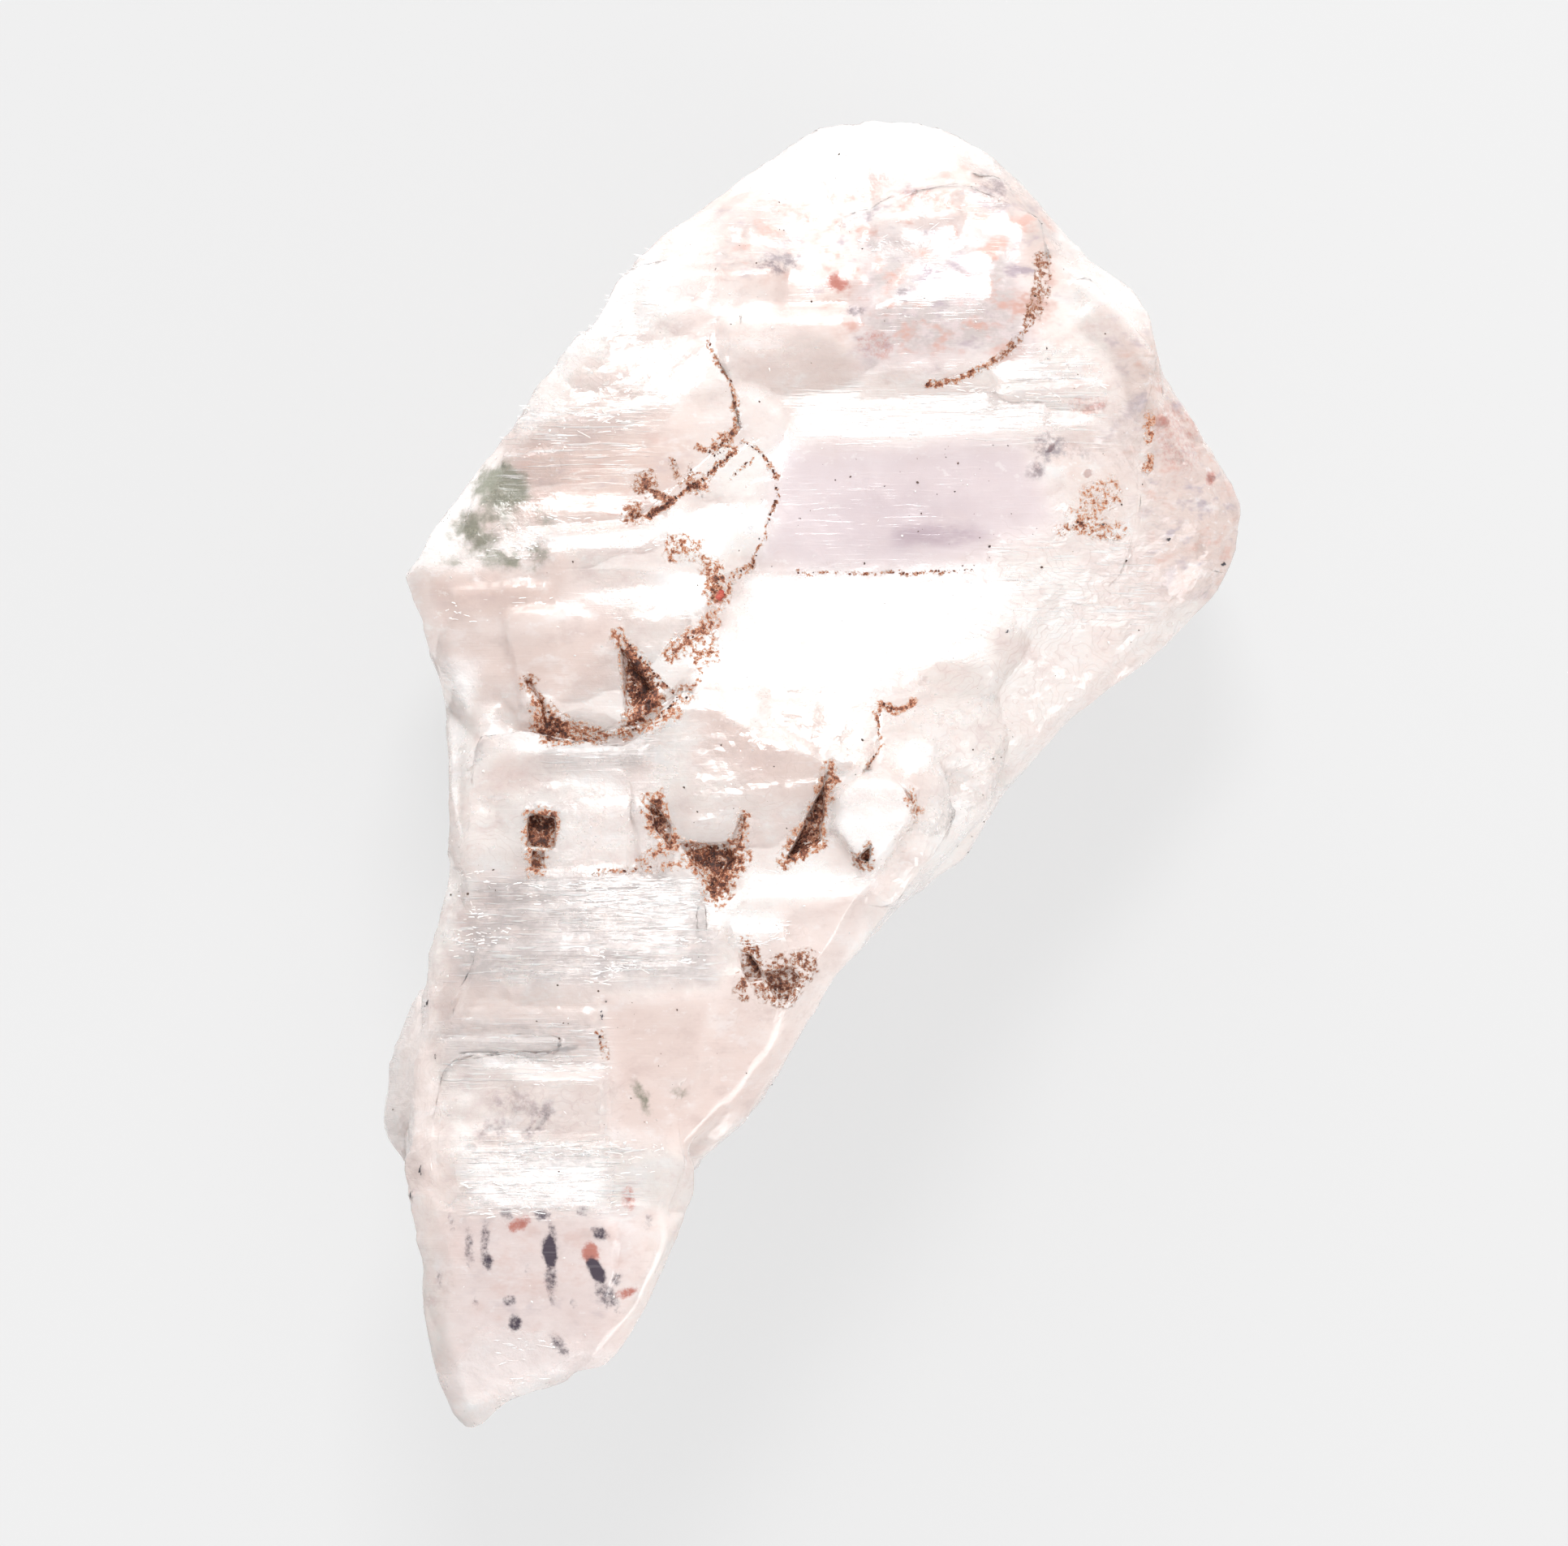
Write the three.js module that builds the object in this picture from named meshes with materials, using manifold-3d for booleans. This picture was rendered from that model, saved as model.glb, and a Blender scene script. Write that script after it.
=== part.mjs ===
// A harlequin quartz crystal: one doubly tapered quartz body of parallel growth, as broken from its vein.
// It lies on its back. Seen from above, its broad upper end is towards +Y, its narrow point towards -Y,
// and the stepped front face looks up, along +Z. All sizes are in millimetres.
// The quartz c-axis runs along Y, so growth ledges run across the body, along X.
// Outlines are drawn as seen from the front: y is measured up from the lowest point of the tip, and x from
// a line through the middle of the upper end. They run anticlockwise, and heights are above the rest plane.

import * as THREE from "three";
import { ConvexGeometry } from "three/addons/geometries/ConvexGeometry.js";
import { mergeVertices } from "three/addons/utils/BufferGeometryUtils.js";
import Module from "manifold-3d";

const wasm = await Module();
wasm.setup();

// Driving heights.
const REST = 0; // the back face that the crystal rests on
const WAIST = 5.8; // widest section of the upper end
const SHAFT_WAIST = 10.2; // widest section of the lower shaft
const TIP_WAIST = 12; // widest section of the narrow tip
const TOP_FACE = 8.5; // front prism face of the upper end
const LEFT_FACE = 11.6; // front prism face of the left column
const BODY_FACE = 13.2; // front prism face of the middle
const SHAFT_FACE = 14.3; // front prism face of the lower shaft
const TIP_FACE = 15.4; // front of the narrow tip, the highest point
const THICKNESS = 20; // more than the whole crystal measures through

// Quartz angles. A prism face beside the front one leans in by the cotangent of 60 degrees, a rhomb face
// at the front rises 38.2 degrees from the c-axis, and the edge of two side rhombs lies between them.
const PRISM_LEAN = 1 / Math.tan(Math.PI / 3);
const RHOMB_LEAN = 1.27;
const SIDE_RHOMB_LEAN = 0.428;
const SIDE_RHOMB_ANGLE = THREE.MathUtils.degToRad(42);

const SPARE = 0.1; // how far the bodies are drawn outside the outline that trims them
const BAND_SEED = 20; // seed of the growth bands
const BAND_STEP = [0.1, 0.3]; // how far a growth band stands proud
const BAND_WIDTH = [1.1, 4.2]; // its reach along the c-axis
const BAND_GAP = [0.6, 4.6]; // plain quartz between two bands along the c-axis
const BAND_START = 3; // the first band begins at most this far up its face
const BAND_SHORTEST = 1; // no band begins nearer than this to the upper end of its face
const BAND_PAST_MIDDLE = 0.8; // how far a band can reach past the middle, as a share of its face's width
const BAND_ROOT = 0.5; // how deep a band is rooted in its face
const MIN_BANDED = 3.5; // faces shorter than this along the c-axis stay plain
const DOWN = -0.999; // a face whose normal points lower is the one it rests on
const FORWARD = 0.7; // a face whose normal points higher belongs to the front
const ALONG_AXIS = 0.75; // a face whose normal lies this near the c-axis has no bands
const PLATE_DEPTH = 2.6; // how far a plate flares behind its face where nothing else is said
const PLATE_ROOT = 2; // how far a plate goes on straight behind its flare, into the bodies
const ROOT_OVERLAP = 0.1; // how far the straight part begins inside the flare
const PIT_ABOVE = 1; // how far a pit is cut above its face
const PIT_FLOOR = 0.3; // the least size of a pit's floor, as a share of its opening
const PIT_TAPER = 4; // how much faster a pit closes below its face than above it

const EPSILON = 1e-7;
const MERGE = 1e-4;
const SLIVER = 0.02; // edges and steps smaller than this are smoothed away

// The outline of the whole crystal, from its left corner over the top and down to the tip.
const SILHOUETTE = [
  [-11.4, 23.7], [-10.9, 24.2], [-10.6, 25.0], [-9.3, 26.7], [-8.2, 28.0], [-7.7, 29.0], [-7.0, 29.7],
  [-6.1, 30.7], [-5.2, 32.3], [-4.1, 33.3], [-2.8, 34.2], [-1.4, 35.3], [-0.8, 35.9], [0.0, 36.3],
  [1.2, 36.6], [3.3, 36.5], [4.5, 36.0], [6.0, 34.7], [7.8, 32.6], [9.0, 31.8], [9.5, 31.0], [9.8, 29.6],
  [11.4, 27.0], [12.0, 26.0], [12.1, 25.2], [11.6, 23.2], [10.5, 22.2], [9.7, 21.6], [7.2, 19.7],
  [5.4, 17.6], [5.0, 16.9], [4.4, 15.9], [2.4, 14.4], [0.6, 12.5], [-1.0, 9.7], [-1.6, 8.8], [-2.6, 7.8],
  [-3.1, 7.4], [-3.2, 6.8], [-3.5, 5.9], [-4.1, 4.6], [-4.8, 3.0], [-5.6, 1.8], [-6.6, 1.6], [-6.8, 1.3],
  [-7.9, 1.0], [-8.5, 0.8], [-9.1, 0.2], [-9.5, 0.0], [-9.9, 0.3], [-10.5, 1.7], [-10.8, 3.4],
  [-10.8, 4.6], [-11.2, 6.4], [-11.4, 7.3], [-12.0, 8.2], [-11.7, 10.4], [-11.3, 11.5], [-11.0, 12.2],
  [-10.7, 12.3], [-10.6, 13.1], [-10.1, 15.5], [-10.1, 18.3], [-10.3, 20.5], [-10.9, 22.5],
];

// A repeatable stream of numbers between 0 and 1.
function stream(seed) {
  let state = seed;
  return () => {
    state = (state + 0x6d2b79f5) | 0;
    let mixed = Math.imul(state ^ (state >>> 15), 1 | state);
    mixed = (mixed + Math.imul(mixed ^ (mixed >>> 7), 61 | mixed)) ^ mixed;
    return ((mixed ^ (mixed >>> 14)) >>> 0) / 4294967296;
  };
}

// How far a side with this outline normal leans in for each millimetre of depth.
function quartzLean(nx, ny) {
  const angle = Math.atan2(Math.abs(ny), Math.abs(nx));
  if (angle < SIDE_RHOMB_ANGLE)
    return THREE.MathUtils.lerp(PRISM_LEAN, SIDE_RHOMB_LEAN, angle / SIDE_RHOMB_ANGLE);
  const share = (angle - SIDE_RHOMB_ANGLE) / (Math.PI / 2 - SIDE_RHOMB_ANGLE);
  return THREE.MathUtils.lerp(SIDE_RHOMB_LEAN, RHOMB_LEAN, share);
}

// A half-space as a unit normal and its reach: points inside have normal . p <= reach.
function halfSpace(normal, reach) {
  const length = normal.length();
  return { normal: normal.clone().divideScalar(length), reach: reach / length };
}

// A closed three.js geometry as a solid that can be joined and cut.
function solidOf(geometry) {
  geometry.deleteAttribute("normal");
  geometry.deleteAttribute("uv");
  const merged = mergeVertices(geometry, MERGE);
  return new wasm.Manifold(
    new wasm.Mesh({
      numProp: 3,
      vertProperties: new Float32Array(merged.attributes.position.array),
      triVerts: new Uint32Array(merged.index.array),
    }),
  );
}

// A closed convex solid from half-spaces: its corners are where three planes meet inside all the others.
function convexOf(planes) {
  const corners = [];
  const rows = new THREE.Matrix3();
  planes.forEach((a, i) =>
    planes.slice(i + 1).forEach((b, j) =>
      planes.slice(i + j + 2).forEach((c) => {
        rows.set(...a.normal.toArray(), ...b.normal.toArray(), ...c.normal.toArray());
        if (Math.abs(rows.determinant()) < EPSILON) return;
        const corner = new THREE.Vector3(a.reach, b.reach, c.reach).applyMatrix3(rows.invert());
        const inside = planes.every((plane) => plane.normal.dot(corner) <= plane.reach + MERGE / 10);
        if (inside && !corners.some((other) => other.distanceTo(corner) < 2 * MERGE)) corners.push(corner);
      }),
    ),
  );
  return corners.length > 3 ? solidOf(new ConvexGeometry(corners)) : null;
}

// The half-spaces of one growth block. The outline is its section at height `at`. Towards the front every
// side leans in as quartz faces do, times `lean`. Behind `at` the sides keep flaring, or lean in again
// where backLean is given. tilt slopes the front face along x and y, and topLean sets the upper ledge.
function growthPlanes({
  outline, at, front, back, lean = 1, backLean = null, tilt = [0, 0], topLean = null, spare = 0,
}) {
  const planes = [];
  const middle = outline.reduce((sum, [x, y]) => sum.add(new THREE.Vector2(x, y)), new THREE.Vector2());
  middle.divideScalar(outline.length);
  outline.forEach(([x, y], i) => {
    const [nextX, nextY] = outline[(i + 1) % outline.length];
    const side = new THREE.Vector2(nextY - y, x - nextX).normalize();
    const facesTop = side.y > Math.SQRT1_2;
    const run = facesTop && topLean !== null ? topLean : quartzLean(side.x, side.y) * lean;
    const flat = side.x * x + side.y * y + spare;
    planes.push(halfSpace(new THREE.Vector3(side.x, side.y, run), flat + run * at));
    if (backLean !== null) {
      const backRun = quartzLean(side.x, side.y) * backLean;
      planes.push(halfSpace(new THREE.Vector3(side.x, side.y, -backRun), flat - backRun * at));
    }
  });
  const frontReach = front - tilt[0] * middle.x - tilt[1] * middle.y;
  planes.push(halfSpace(new THREE.Vector3(-tilt[0], -tilt[1], 1), frontReach));
  planes.push(halfSpace(new THREE.Vector3(0, 0, -1), -back));
  return planes;
}

// A plate that stands proud of the face behind it, drawn at its own front face. It flares down to `depth`
// and goes on straight from there, so that no gap is left between it and the bodies.
function plate(front, outline, options = {}) {
  const { depth = PLATE_DEPTH, root = PLATE_ROOT, ...rest } = options;
  const back = front - depth;
  const planes = growthPlanes({ outline, at: front, front, back, ...rest });
  const flared = convexOf(planes);
  if (root === 0) return flared;
  const top = back + ROOT_OVERLAP;
  const straight = planes.slice(0, outline.length).map(({ normal, reach }) => {
    const upright = new THREE.Vector3(normal.x, normal.y, 0);
    return halfSpace(upright, reach - normal.z * top);
  });
  straight.push(halfSpace(new THREE.Vector3(0, 0, 1), top));
  straight.push(halfSpace(new THREE.Vector3(0, 0, -1), root - back));
  return flared.add(convexOf(straight));
}

// A pit cut into a face: open by `flare` more at the face, and closing towards its floor.
function pit(face, depth, outline, flare = 0.12) {
  const middle = outline.reduce((sum, [x, y]) => sum.add(new THREE.Vector2(x, y)), new THREE.Vector2());
  middle.divideScalar(outline.length);
  const ring = (height, share) =>
    outline.map(([x, y]) => {
      const point = new THREE.Vector2(x, y).sub(middle).multiplyScalar(share).add(middle);
      return new THREE.Vector3(point.x, point.y, height);
    });
  const open = 1 + flare * PIT_ABOVE;
  const closed = Math.max(PIT_FLOOR, 1 - flare * PIT_TAPER * depth);
  return solidOf(new ConvexGeometry([...ring(face + PIT_ABOVE, open), ...ring(face - depth, closed)]));
}

// A groove along a bent line: each stretch is a wedge, wide at the face and sharp at its bottom.
function groove(face, depth, width, line) {
  return line.slice(1).map(([x, y], i) => {
    const [fromX, fromY] = line[i];
    const along = new THREE.Vector2(x - fromX, y - fromY).normalize();
    const across = new THREE.Vector2(-along.y, along.x).multiplyScalar(width);
    const end = along.multiplyScalar(width / 2);
    const corners = [];
    [[fromX - end.x, fromY - end.y], [x + end.x, y + end.y]].forEach(([endX, endY]) => {
      corners.push(new THREE.Vector3(endX + across.x, endY + across.y, face + depth));
      corners.push(new THREE.Vector3(endX - across.x, endY - across.y, face + depth));
      corners.push(new THREE.Vector3(endX, endY, face - depth));
    });
    return solidOf(new ConvexGeometry(corners));
  });
}

// The large bodies that give the crystal its outline. The heel carries the flat face that it rests on.
function bodyPlanes() {
  const heel = {
    outline: [
      [-9.4, 25.0], [-9.2, 14.6], [-6.4, 10.6], [0.2, 10.4], [4.4, 15.6], [9.2, 22.4], [8.2, 29.2],
      [0.6, 32.8], [-5.9, 30.6],
    ],
    at: REST + 5, front: TOP_FACE, back: REST, backLean: 0.5,
  };
  const upper = {
    outline: [
      [-11.4, 23.7], [-10.4, 19.5], [-8.0, 14.6], [4.2, 15.6], [9.8, 21.5], [10.9, 26.0], [9.8, 29.6],
      [7.8, 32.6], [6.0, 34.7], [4.5, 36.0], [3.3, 36.5], [1.2, 36.6], [0.0, 36.3], [-5.2, 32.3],
      [-9.3, 26.7],
    ],
    at: WAIST, front: TOP_FACE, back: REST + 0.5, backLean: 0.9,
  };
  const knob = {
    outline: [[4, 27], [9.3, 27.5], [9.8, 29.6], [9.5, 31.0], [9.0, 31.8], [7.4, 33.0], [4.6, 33.4]],
    at: WAIST + 0.5, front: TOP_FACE + 0.7, back: REST + 2, backLean: 0.8, lean: 0.8,
  };
  const shoulder = {
    outline: [
      [-2, 26], [1.5, 17.5], [4.4, 15.9], [9.7, 21.6], [11.6, 23.2], [12.1, 25.2], [12.0, 26.0],
      [9.7, 29.8], [7.2, 31.6], [2, 31.5],
    ],
    at: WAIST - 0.4, front: TOP_FACE + 0.2, back: REST + 0.9, backLean: 0.8,
  };
  const middle = {
    outline: [
      [-4.6, 29.1], [-5.5, 18], [-1.5, 13.2], [4.4, 15.8], [5.4, 17.6], [9.7, 21.5], [11.5, 23.2],
      [11.9, 24.8], [10.4, 29.1],
    ],
    at: WAIST, front: BODY_FACE, back: REST + 1.1, backLean: 0.9, lean: 0.6, topLean: 1.24,
  };
  const leftColumn = {
    outline: [
      [-11.2, 23.7], [-10.2, 20.5], [-10.1, 15.5], [-8.6, 12], [2, 13.6], [2, 21], [-4, 25.5],
      [-9.6, 26.0],
    ],
    at: WAIST + 2.2, front: LEFT_FACE, back: REST + 0.7, backLean: 0.8, lean: 0.55,
  };
  const lowerBody = {
    outline: [
      [-10.25, 20.4], [-10.1, 15.0], [-9, 11.6], [0.5, 12.3], [2.4, 14.4], [4.4, 15.9], [5.4, 18.6],
      [-3, 22.2],
    ],
    at: WAIST + 2.8, front: BODY_FACE, back: REST + 2.2, backLean: 0.55, lean: 0.3, topLean: 1.1,
  };
  const shaft = {
    outline: [
      [-10.1, 15.8], [-10.7, 12.3], [-11.3, 7.4], [-9, 6.0], [-3.1, 7.3], [-1.6, 8.8], [0.6, 12.4],
      [2.4, 14.4], [1.4, 16.6],
    ],
    at: SHAFT_WAIST, front: SHAFT_FACE, back: REST + 4.2, backLean: 0.9, lean: 0.3, topLean: 2,
  };
  const leftFlank = {
    outline: [[-11.0, 12.3], [-11.7, 10.4], [-12.0, 8.2], [-11.3, 7.3], [-9.3, 7.8], [-8.9, 12.2]],
    at: SHAFT_WAIST - 0.9, front: SHAFT_FACE - 1.6, back: REST + 6, backLean: 0.7, lean: 0.8,
  };
  const rightFlank = {
    outline: [[-4.2, 10.6], [-3.8, 7.5], [-2.8, 7.6], [-1.5, 8.8], [-0.4, 10.8], [-1.2, 12.4]],
    at: SHAFT_WAIST - 0.5, front: SHAFT_FACE - 0.8, back: REST + 7, backLean: 0.8, lean: 0.7,
  };
  const tipLeft = {
    outline: [
      [-11.3, 7.7], [-11.2, 6.2], [-10.8, 3.6], [-10.5, 1.6], [-9.9, 0.25], [-9.5, 0], [-9.1, 0.15],
      [-6.6, 1.5], [-5, 4.2], [-5, 8.6],
    ],
    at: TIP_WAIST, front: TIP_FACE - 0.5, back: REST + 8.4, backLean: 0.75, lean: 0.6, tilt: [0, 0.14],
  };
  const tipRight = {
    outline: [
      [-8.6, 8.4], [-9.4, 3.2], [-7.9, 1.2], [-6.7, 1.4], [-5.6, 1.8], [-4.8, 3.0], [-4.1, 4.6],
      [-3.2, 7.0], [-4, 9],
    ],
    at: TIP_WAIST + 0.2, front: TIP_FACE - 0.7, back: REST + 9, backLean: 0.8, lean: 0.6,
    tilt: [-0.05, 0.1],
  };
  const all = [
    heel, upper, knob, shoulder, middle, leftColumn, lowerBody, shaft, leftFlank, rightFlank, tipLeft,
    tipRight,
  ];
  return all.map((body) => growthPlanes({ spare: SPARE, ...body }));
}

// A growth band: the body with one of its faces moved out by `step`, between two heights of the c-axis.
function band(planes, index, step, from, to, cut) {
  const { normal, reach } = planes[index];
  const upwards = new THREE.Vector3(0, 1, 0).addScaledVector(normal, -normal.y).normalize();
  const onFace = (y) =>
    normal
      .clone()
      .multiplyScalar(reach + step)
      .addScaledVector(upwards, (y - normal.y * (reach + step)) / upwards.y);
  const ledge = upwards.clone().addScaledVector(normal, RHOMB_LEAN);
  const underside = upwards.clone().negate().addScaledVector(normal, PRISM_LEAN);
  const sideways = new THREE.Vector3().crossVectors(normal, upwards).multiplyScalar(cut.direction);
  const side = sideways.clone().addScaledVector(normal, PRISM_LEAN);
  const bounds = [
    halfSpace(ledge, ledge.dot(onFace(to))),
    halfSpace(underside, underside.dot(onFace(from))),
    halfSpace(side, side.dot(onFace(from).addScaledVector(sideways, cut.reach))),
  ];
  const behind = halfSpace(normal.clone().negate(), BAND_ROOT - reach);
  const moved = planes.map((plane, i) => (i === index ? { normal, reach: reach + step } : plane));
  return convexOf([...moved, ...bounds, behind]);
}

// Growth bands round the sides and back, on every long face that is not square to the c-axis.
function growthBands(allPlanes) {
  const next = stream(BAND_SEED);
  const between = ([low, high]) => THREE.MathUtils.lerp(low, high, next());
  const bands = [];
  allPlanes.forEach((planes) =>
    planes.forEach((plane, index) => {
      const restsHere = plane.normal.z < DOWN;
      const looksForward = plane.normal.z > FORWARD;
      if (restsHere || looksForward || Math.abs(plane.normal.y) > ALONG_AXIS) return;
      const face = faceReach(planes, index);
      if (face === null || face.high - face.low < MIN_BANDED) return;
      for (let y = face.low + next() * BAND_START; y < face.high - BAND_SHORTEST; ) {
        const to = y + between(BAND_WIDTH);
        const direction = next() < 0.5 ? -1 : 1;
        const cut = { direction, reach: (next() + BAND_PAST_MIDDLE - 1) * face.wide };
        const made = band(planes, index, between(BAND_STEP), y, to, cut);
        if (made !== null) bands.push(made);
        y = to + between(BAND_GAP);
      }
    }),
  );
  return bands;
}

// How far a face of a convex body runs along the c-axis, and how wide it is.
function faceReach(planes, index) {
  const { normal, reach } = planes[index];
  const across = new THREE.Vector3(0, 1, 0).cross(normal).normalize();
  const corners = [];
  const rows = new THREE.Matrix3();
  planes.forEach((b, i) =>
    planes.slice(i + 1).forEach((c) => {
      rows.set(...normal.toArray(), ...b.normal.toArray(), ...c.normal.toArray());
      if (b === planes[index] || c === planes[index] || Math.abs(rows.determinant()) < EPSILON) return;
      const corner = new THREE.Vector3(reach, b.reach, c.reach).applyMatrix3(rows.invert());
      if (planes.every((plane) => plane.normal.dot(corner) <= plane.reach + MERGE)) corners.push(corner);
    }),
  );
  if (corners.length < 3) return null;
  const ys = corners.map((corner) => corner.y);
  const xs = corners.map((corner) => corner.dot(across));
  return {
    low: Math.min(...ys),
    high: Math.max(...ys),
    wide: Math.max(...xs) - Math.min(...xs),
  };
}

// Each row of plates is one visible front face, from the top of the crystal down.
function frontPlates() {
  return [
    // smooth faces right of the suture, each with a bright rhomb ledge above it
    plate(8.9, [[-3.3, 32.2], [-3.0, 28], [7.6, 28], [8.0, 30.6], [5.4, 32.4], [1.2, 32.6]]),
    plate(9.5, [[-3.2, 30.6], [-2.2, 26.6], [8.1, 26.6], [8.4, 28.9], [5.9, 29.4], [1.1, 30.5]]),
    plate(10.4, [[-0.3, 27.5], [-1.0, 26.2], [-1.4, 22.5], [5.2, 22.5], [7.2, 25.3], [6.4, 27.7]], {
      depth: 1.2,
    }),
    // rough step right of the smooth face
    plate(9.9, [[5.4, 24.2], [8.4, 24.4], [8.9, 26.2], [8.1, 27.9], [5.6, 27.9]], { depth: 1 }),
    // lobe with a dark stained rim near the top right
    plate(9.75, [
      [1.0, 30.6], [2.1, 29.5], [3.3, 29.2], [5.0, 29.7], [5.9, 30.5], [6.4, 31.4], [6.0, 32.0],
      [4.6, 32.2], [1.9, 31.6],
    ], { tilt: [-0.04, 0.05] }),
    plate(9.3, [[1.4, 33.0], [2.2, 31.4], [6.2, 31.6], [6.0, 33.2], [4.4, 34.0]], { depth: 1 }),
    plate(9.7, [[7.1, 29.2], [8.7, 28.9], [9.0, 29.9], [8.3, 30.7], [7.5, 30.6]], { depth: 1.4 }),
    plate(9.75, [[5.4, 28.6], [7.9, 28.5], [8.0, 29.0], [5.2, 29.2]], { depth: 0.6 }),
    // left of the suture, one step nearer
    plate(10.4, [[-6.2, 30.2], [-7.2, 28.2], [-3.0, 28.2], [-3.2, 31.0]], { depth: 1.8 }),
    plate(10.9, [
      [-7.2, 28.3], [-8.9, 26.0], [-9.0, 25.3], [-4.6, 25.3], [-2.1, 27.6], [-2.6, 29.4], [-5.6, 29.6],
    ]),
    plate(11.2, [[-9.5, 24.5], [-3.7, 24.7], [-3.6, 25.3], [-8.2, 25.7], [-9.2, 25.4]], { depth: 0.8 }),
    plate(11.9, [
      [-10.1, 23.4], [-9.5, 21.2], [-7.6, 19.4], [-4.4, 19.4], [-2.4, 21.9], [-2.7, 24.1], [-3.9, 24.5],
      [-8.6, 24.2],
    ]),
    plate(12.2, [[-8.4, 22.2], [-8.0, 20.0], [-5.2, 19.5], [-3.1, 21.2], [-2.9, 23.2], [-6.9, 22.9]], {
      depth: 0.8,
    }),
    // front of the middle, with a small crystal cap
    plate(13.45, [[-5.0, 18.7], [-4.7, 15.4], [-1.0, 15.0], [0.4, 18.4], [-0.9, 19.6], [-3.9, 19.9]], {
      depth: 0.5,
    }),
    plate(13.35, [[-9.2, 18.9], [-9.4, 15.0], [-5.2, 14.9], [-5.0, 18.3], [-7.3, 18.7]], { depth: 0.5 }),
    plate(13.4, [[0.5, 18.9], [-0.8, 15.4], [2.3, 14.8], [3.9, 16.9], [3.0, 19.6], [1.8, 19.8]], {
      depth: 0.4,
    }),
    plate(14.1, [
      [0.8, 17.5], [0.75, 16.6], [1.3, 15.85], [1.8, 15.8], [2.6, 16.9], [2.7, 17.6], [2.2, 18.0],
      [1.2, 18.0],
    ], { depth: 1, lean: 0.7 }),
    // stepped band below the middle
    plate(14.1, [[-1.8, 14.8], [-3.2, 13.0], [-3.1, 9.6], [-1.9, 9.6], [-0.2, 12.4], [1.4, 14.8]], {
      depth: 3.4, lean: 0.6,
    }),
    plate(14.8, [[-9.4, 12.4], [-9.9, 11.3], [-6.0, 11.1], [-3.2, 11.8], [-3.2, 12.6]], {
      depth: 2.6, topLean: 1.9, lean: 0.1,
    }),
    plate(14.8, [[-6.6, 12.4], [-6.2, 9.2], [-4.0, 8.6], [-3.1, 10.4], [-3.2, 12.5]], {
      depth: 1.2, topLean: 1.9, lean: 0.4,
    }),
    plate(14.7, [[-10.2, 10.2], [-10.5, 6.8], [-5.8, 6.6], [-5.5, 10.2]], { depth: 0.8, lean: 0.2 }),
    plate(14.95, [[-8.4, 9.6], [-8.6, 6.8], [-5.9, 6.6], [-5.8, 9.7]], { depth: 0.5, lean: 0.6 }),
    // bright ledge where the tip begins, and the clear face of the tip below it
    plate(15.1, [
      [-9.8, 7.1], [-10.1, 4.4], [-10.0, 2.6], [-9.5, 0.9], [-8.9, 0.8], [-7.4, 1.7], [-6.2, 2.5],
      [-5.5, 4.3], [-5.2, 7.1],
    ], { depth: 2.8, root: 0, topLean: 1.7, lean: 0.55, tilt: [0, 0.19] }),
    plate(14.8, [[-7, 5.6], [-7.4, 2.8], [-6.0, 2.2], [-5.0, 3.4], [-4.1, 5.4], [-4.4, 6.4]], {
      depth: 2.4, root: 0, lean: 0.55, tilt: [-0.25, 0.16],
    }),
    // white chevron right of the ledge
    plate(15.1, [[-5.3, 8.4], [-5.2, 6.6], [-4.4, 6.4], [-3.9, 7.4], [-4.3, 8.7]], { depth: 0.9 }),
  ];
}

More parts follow.
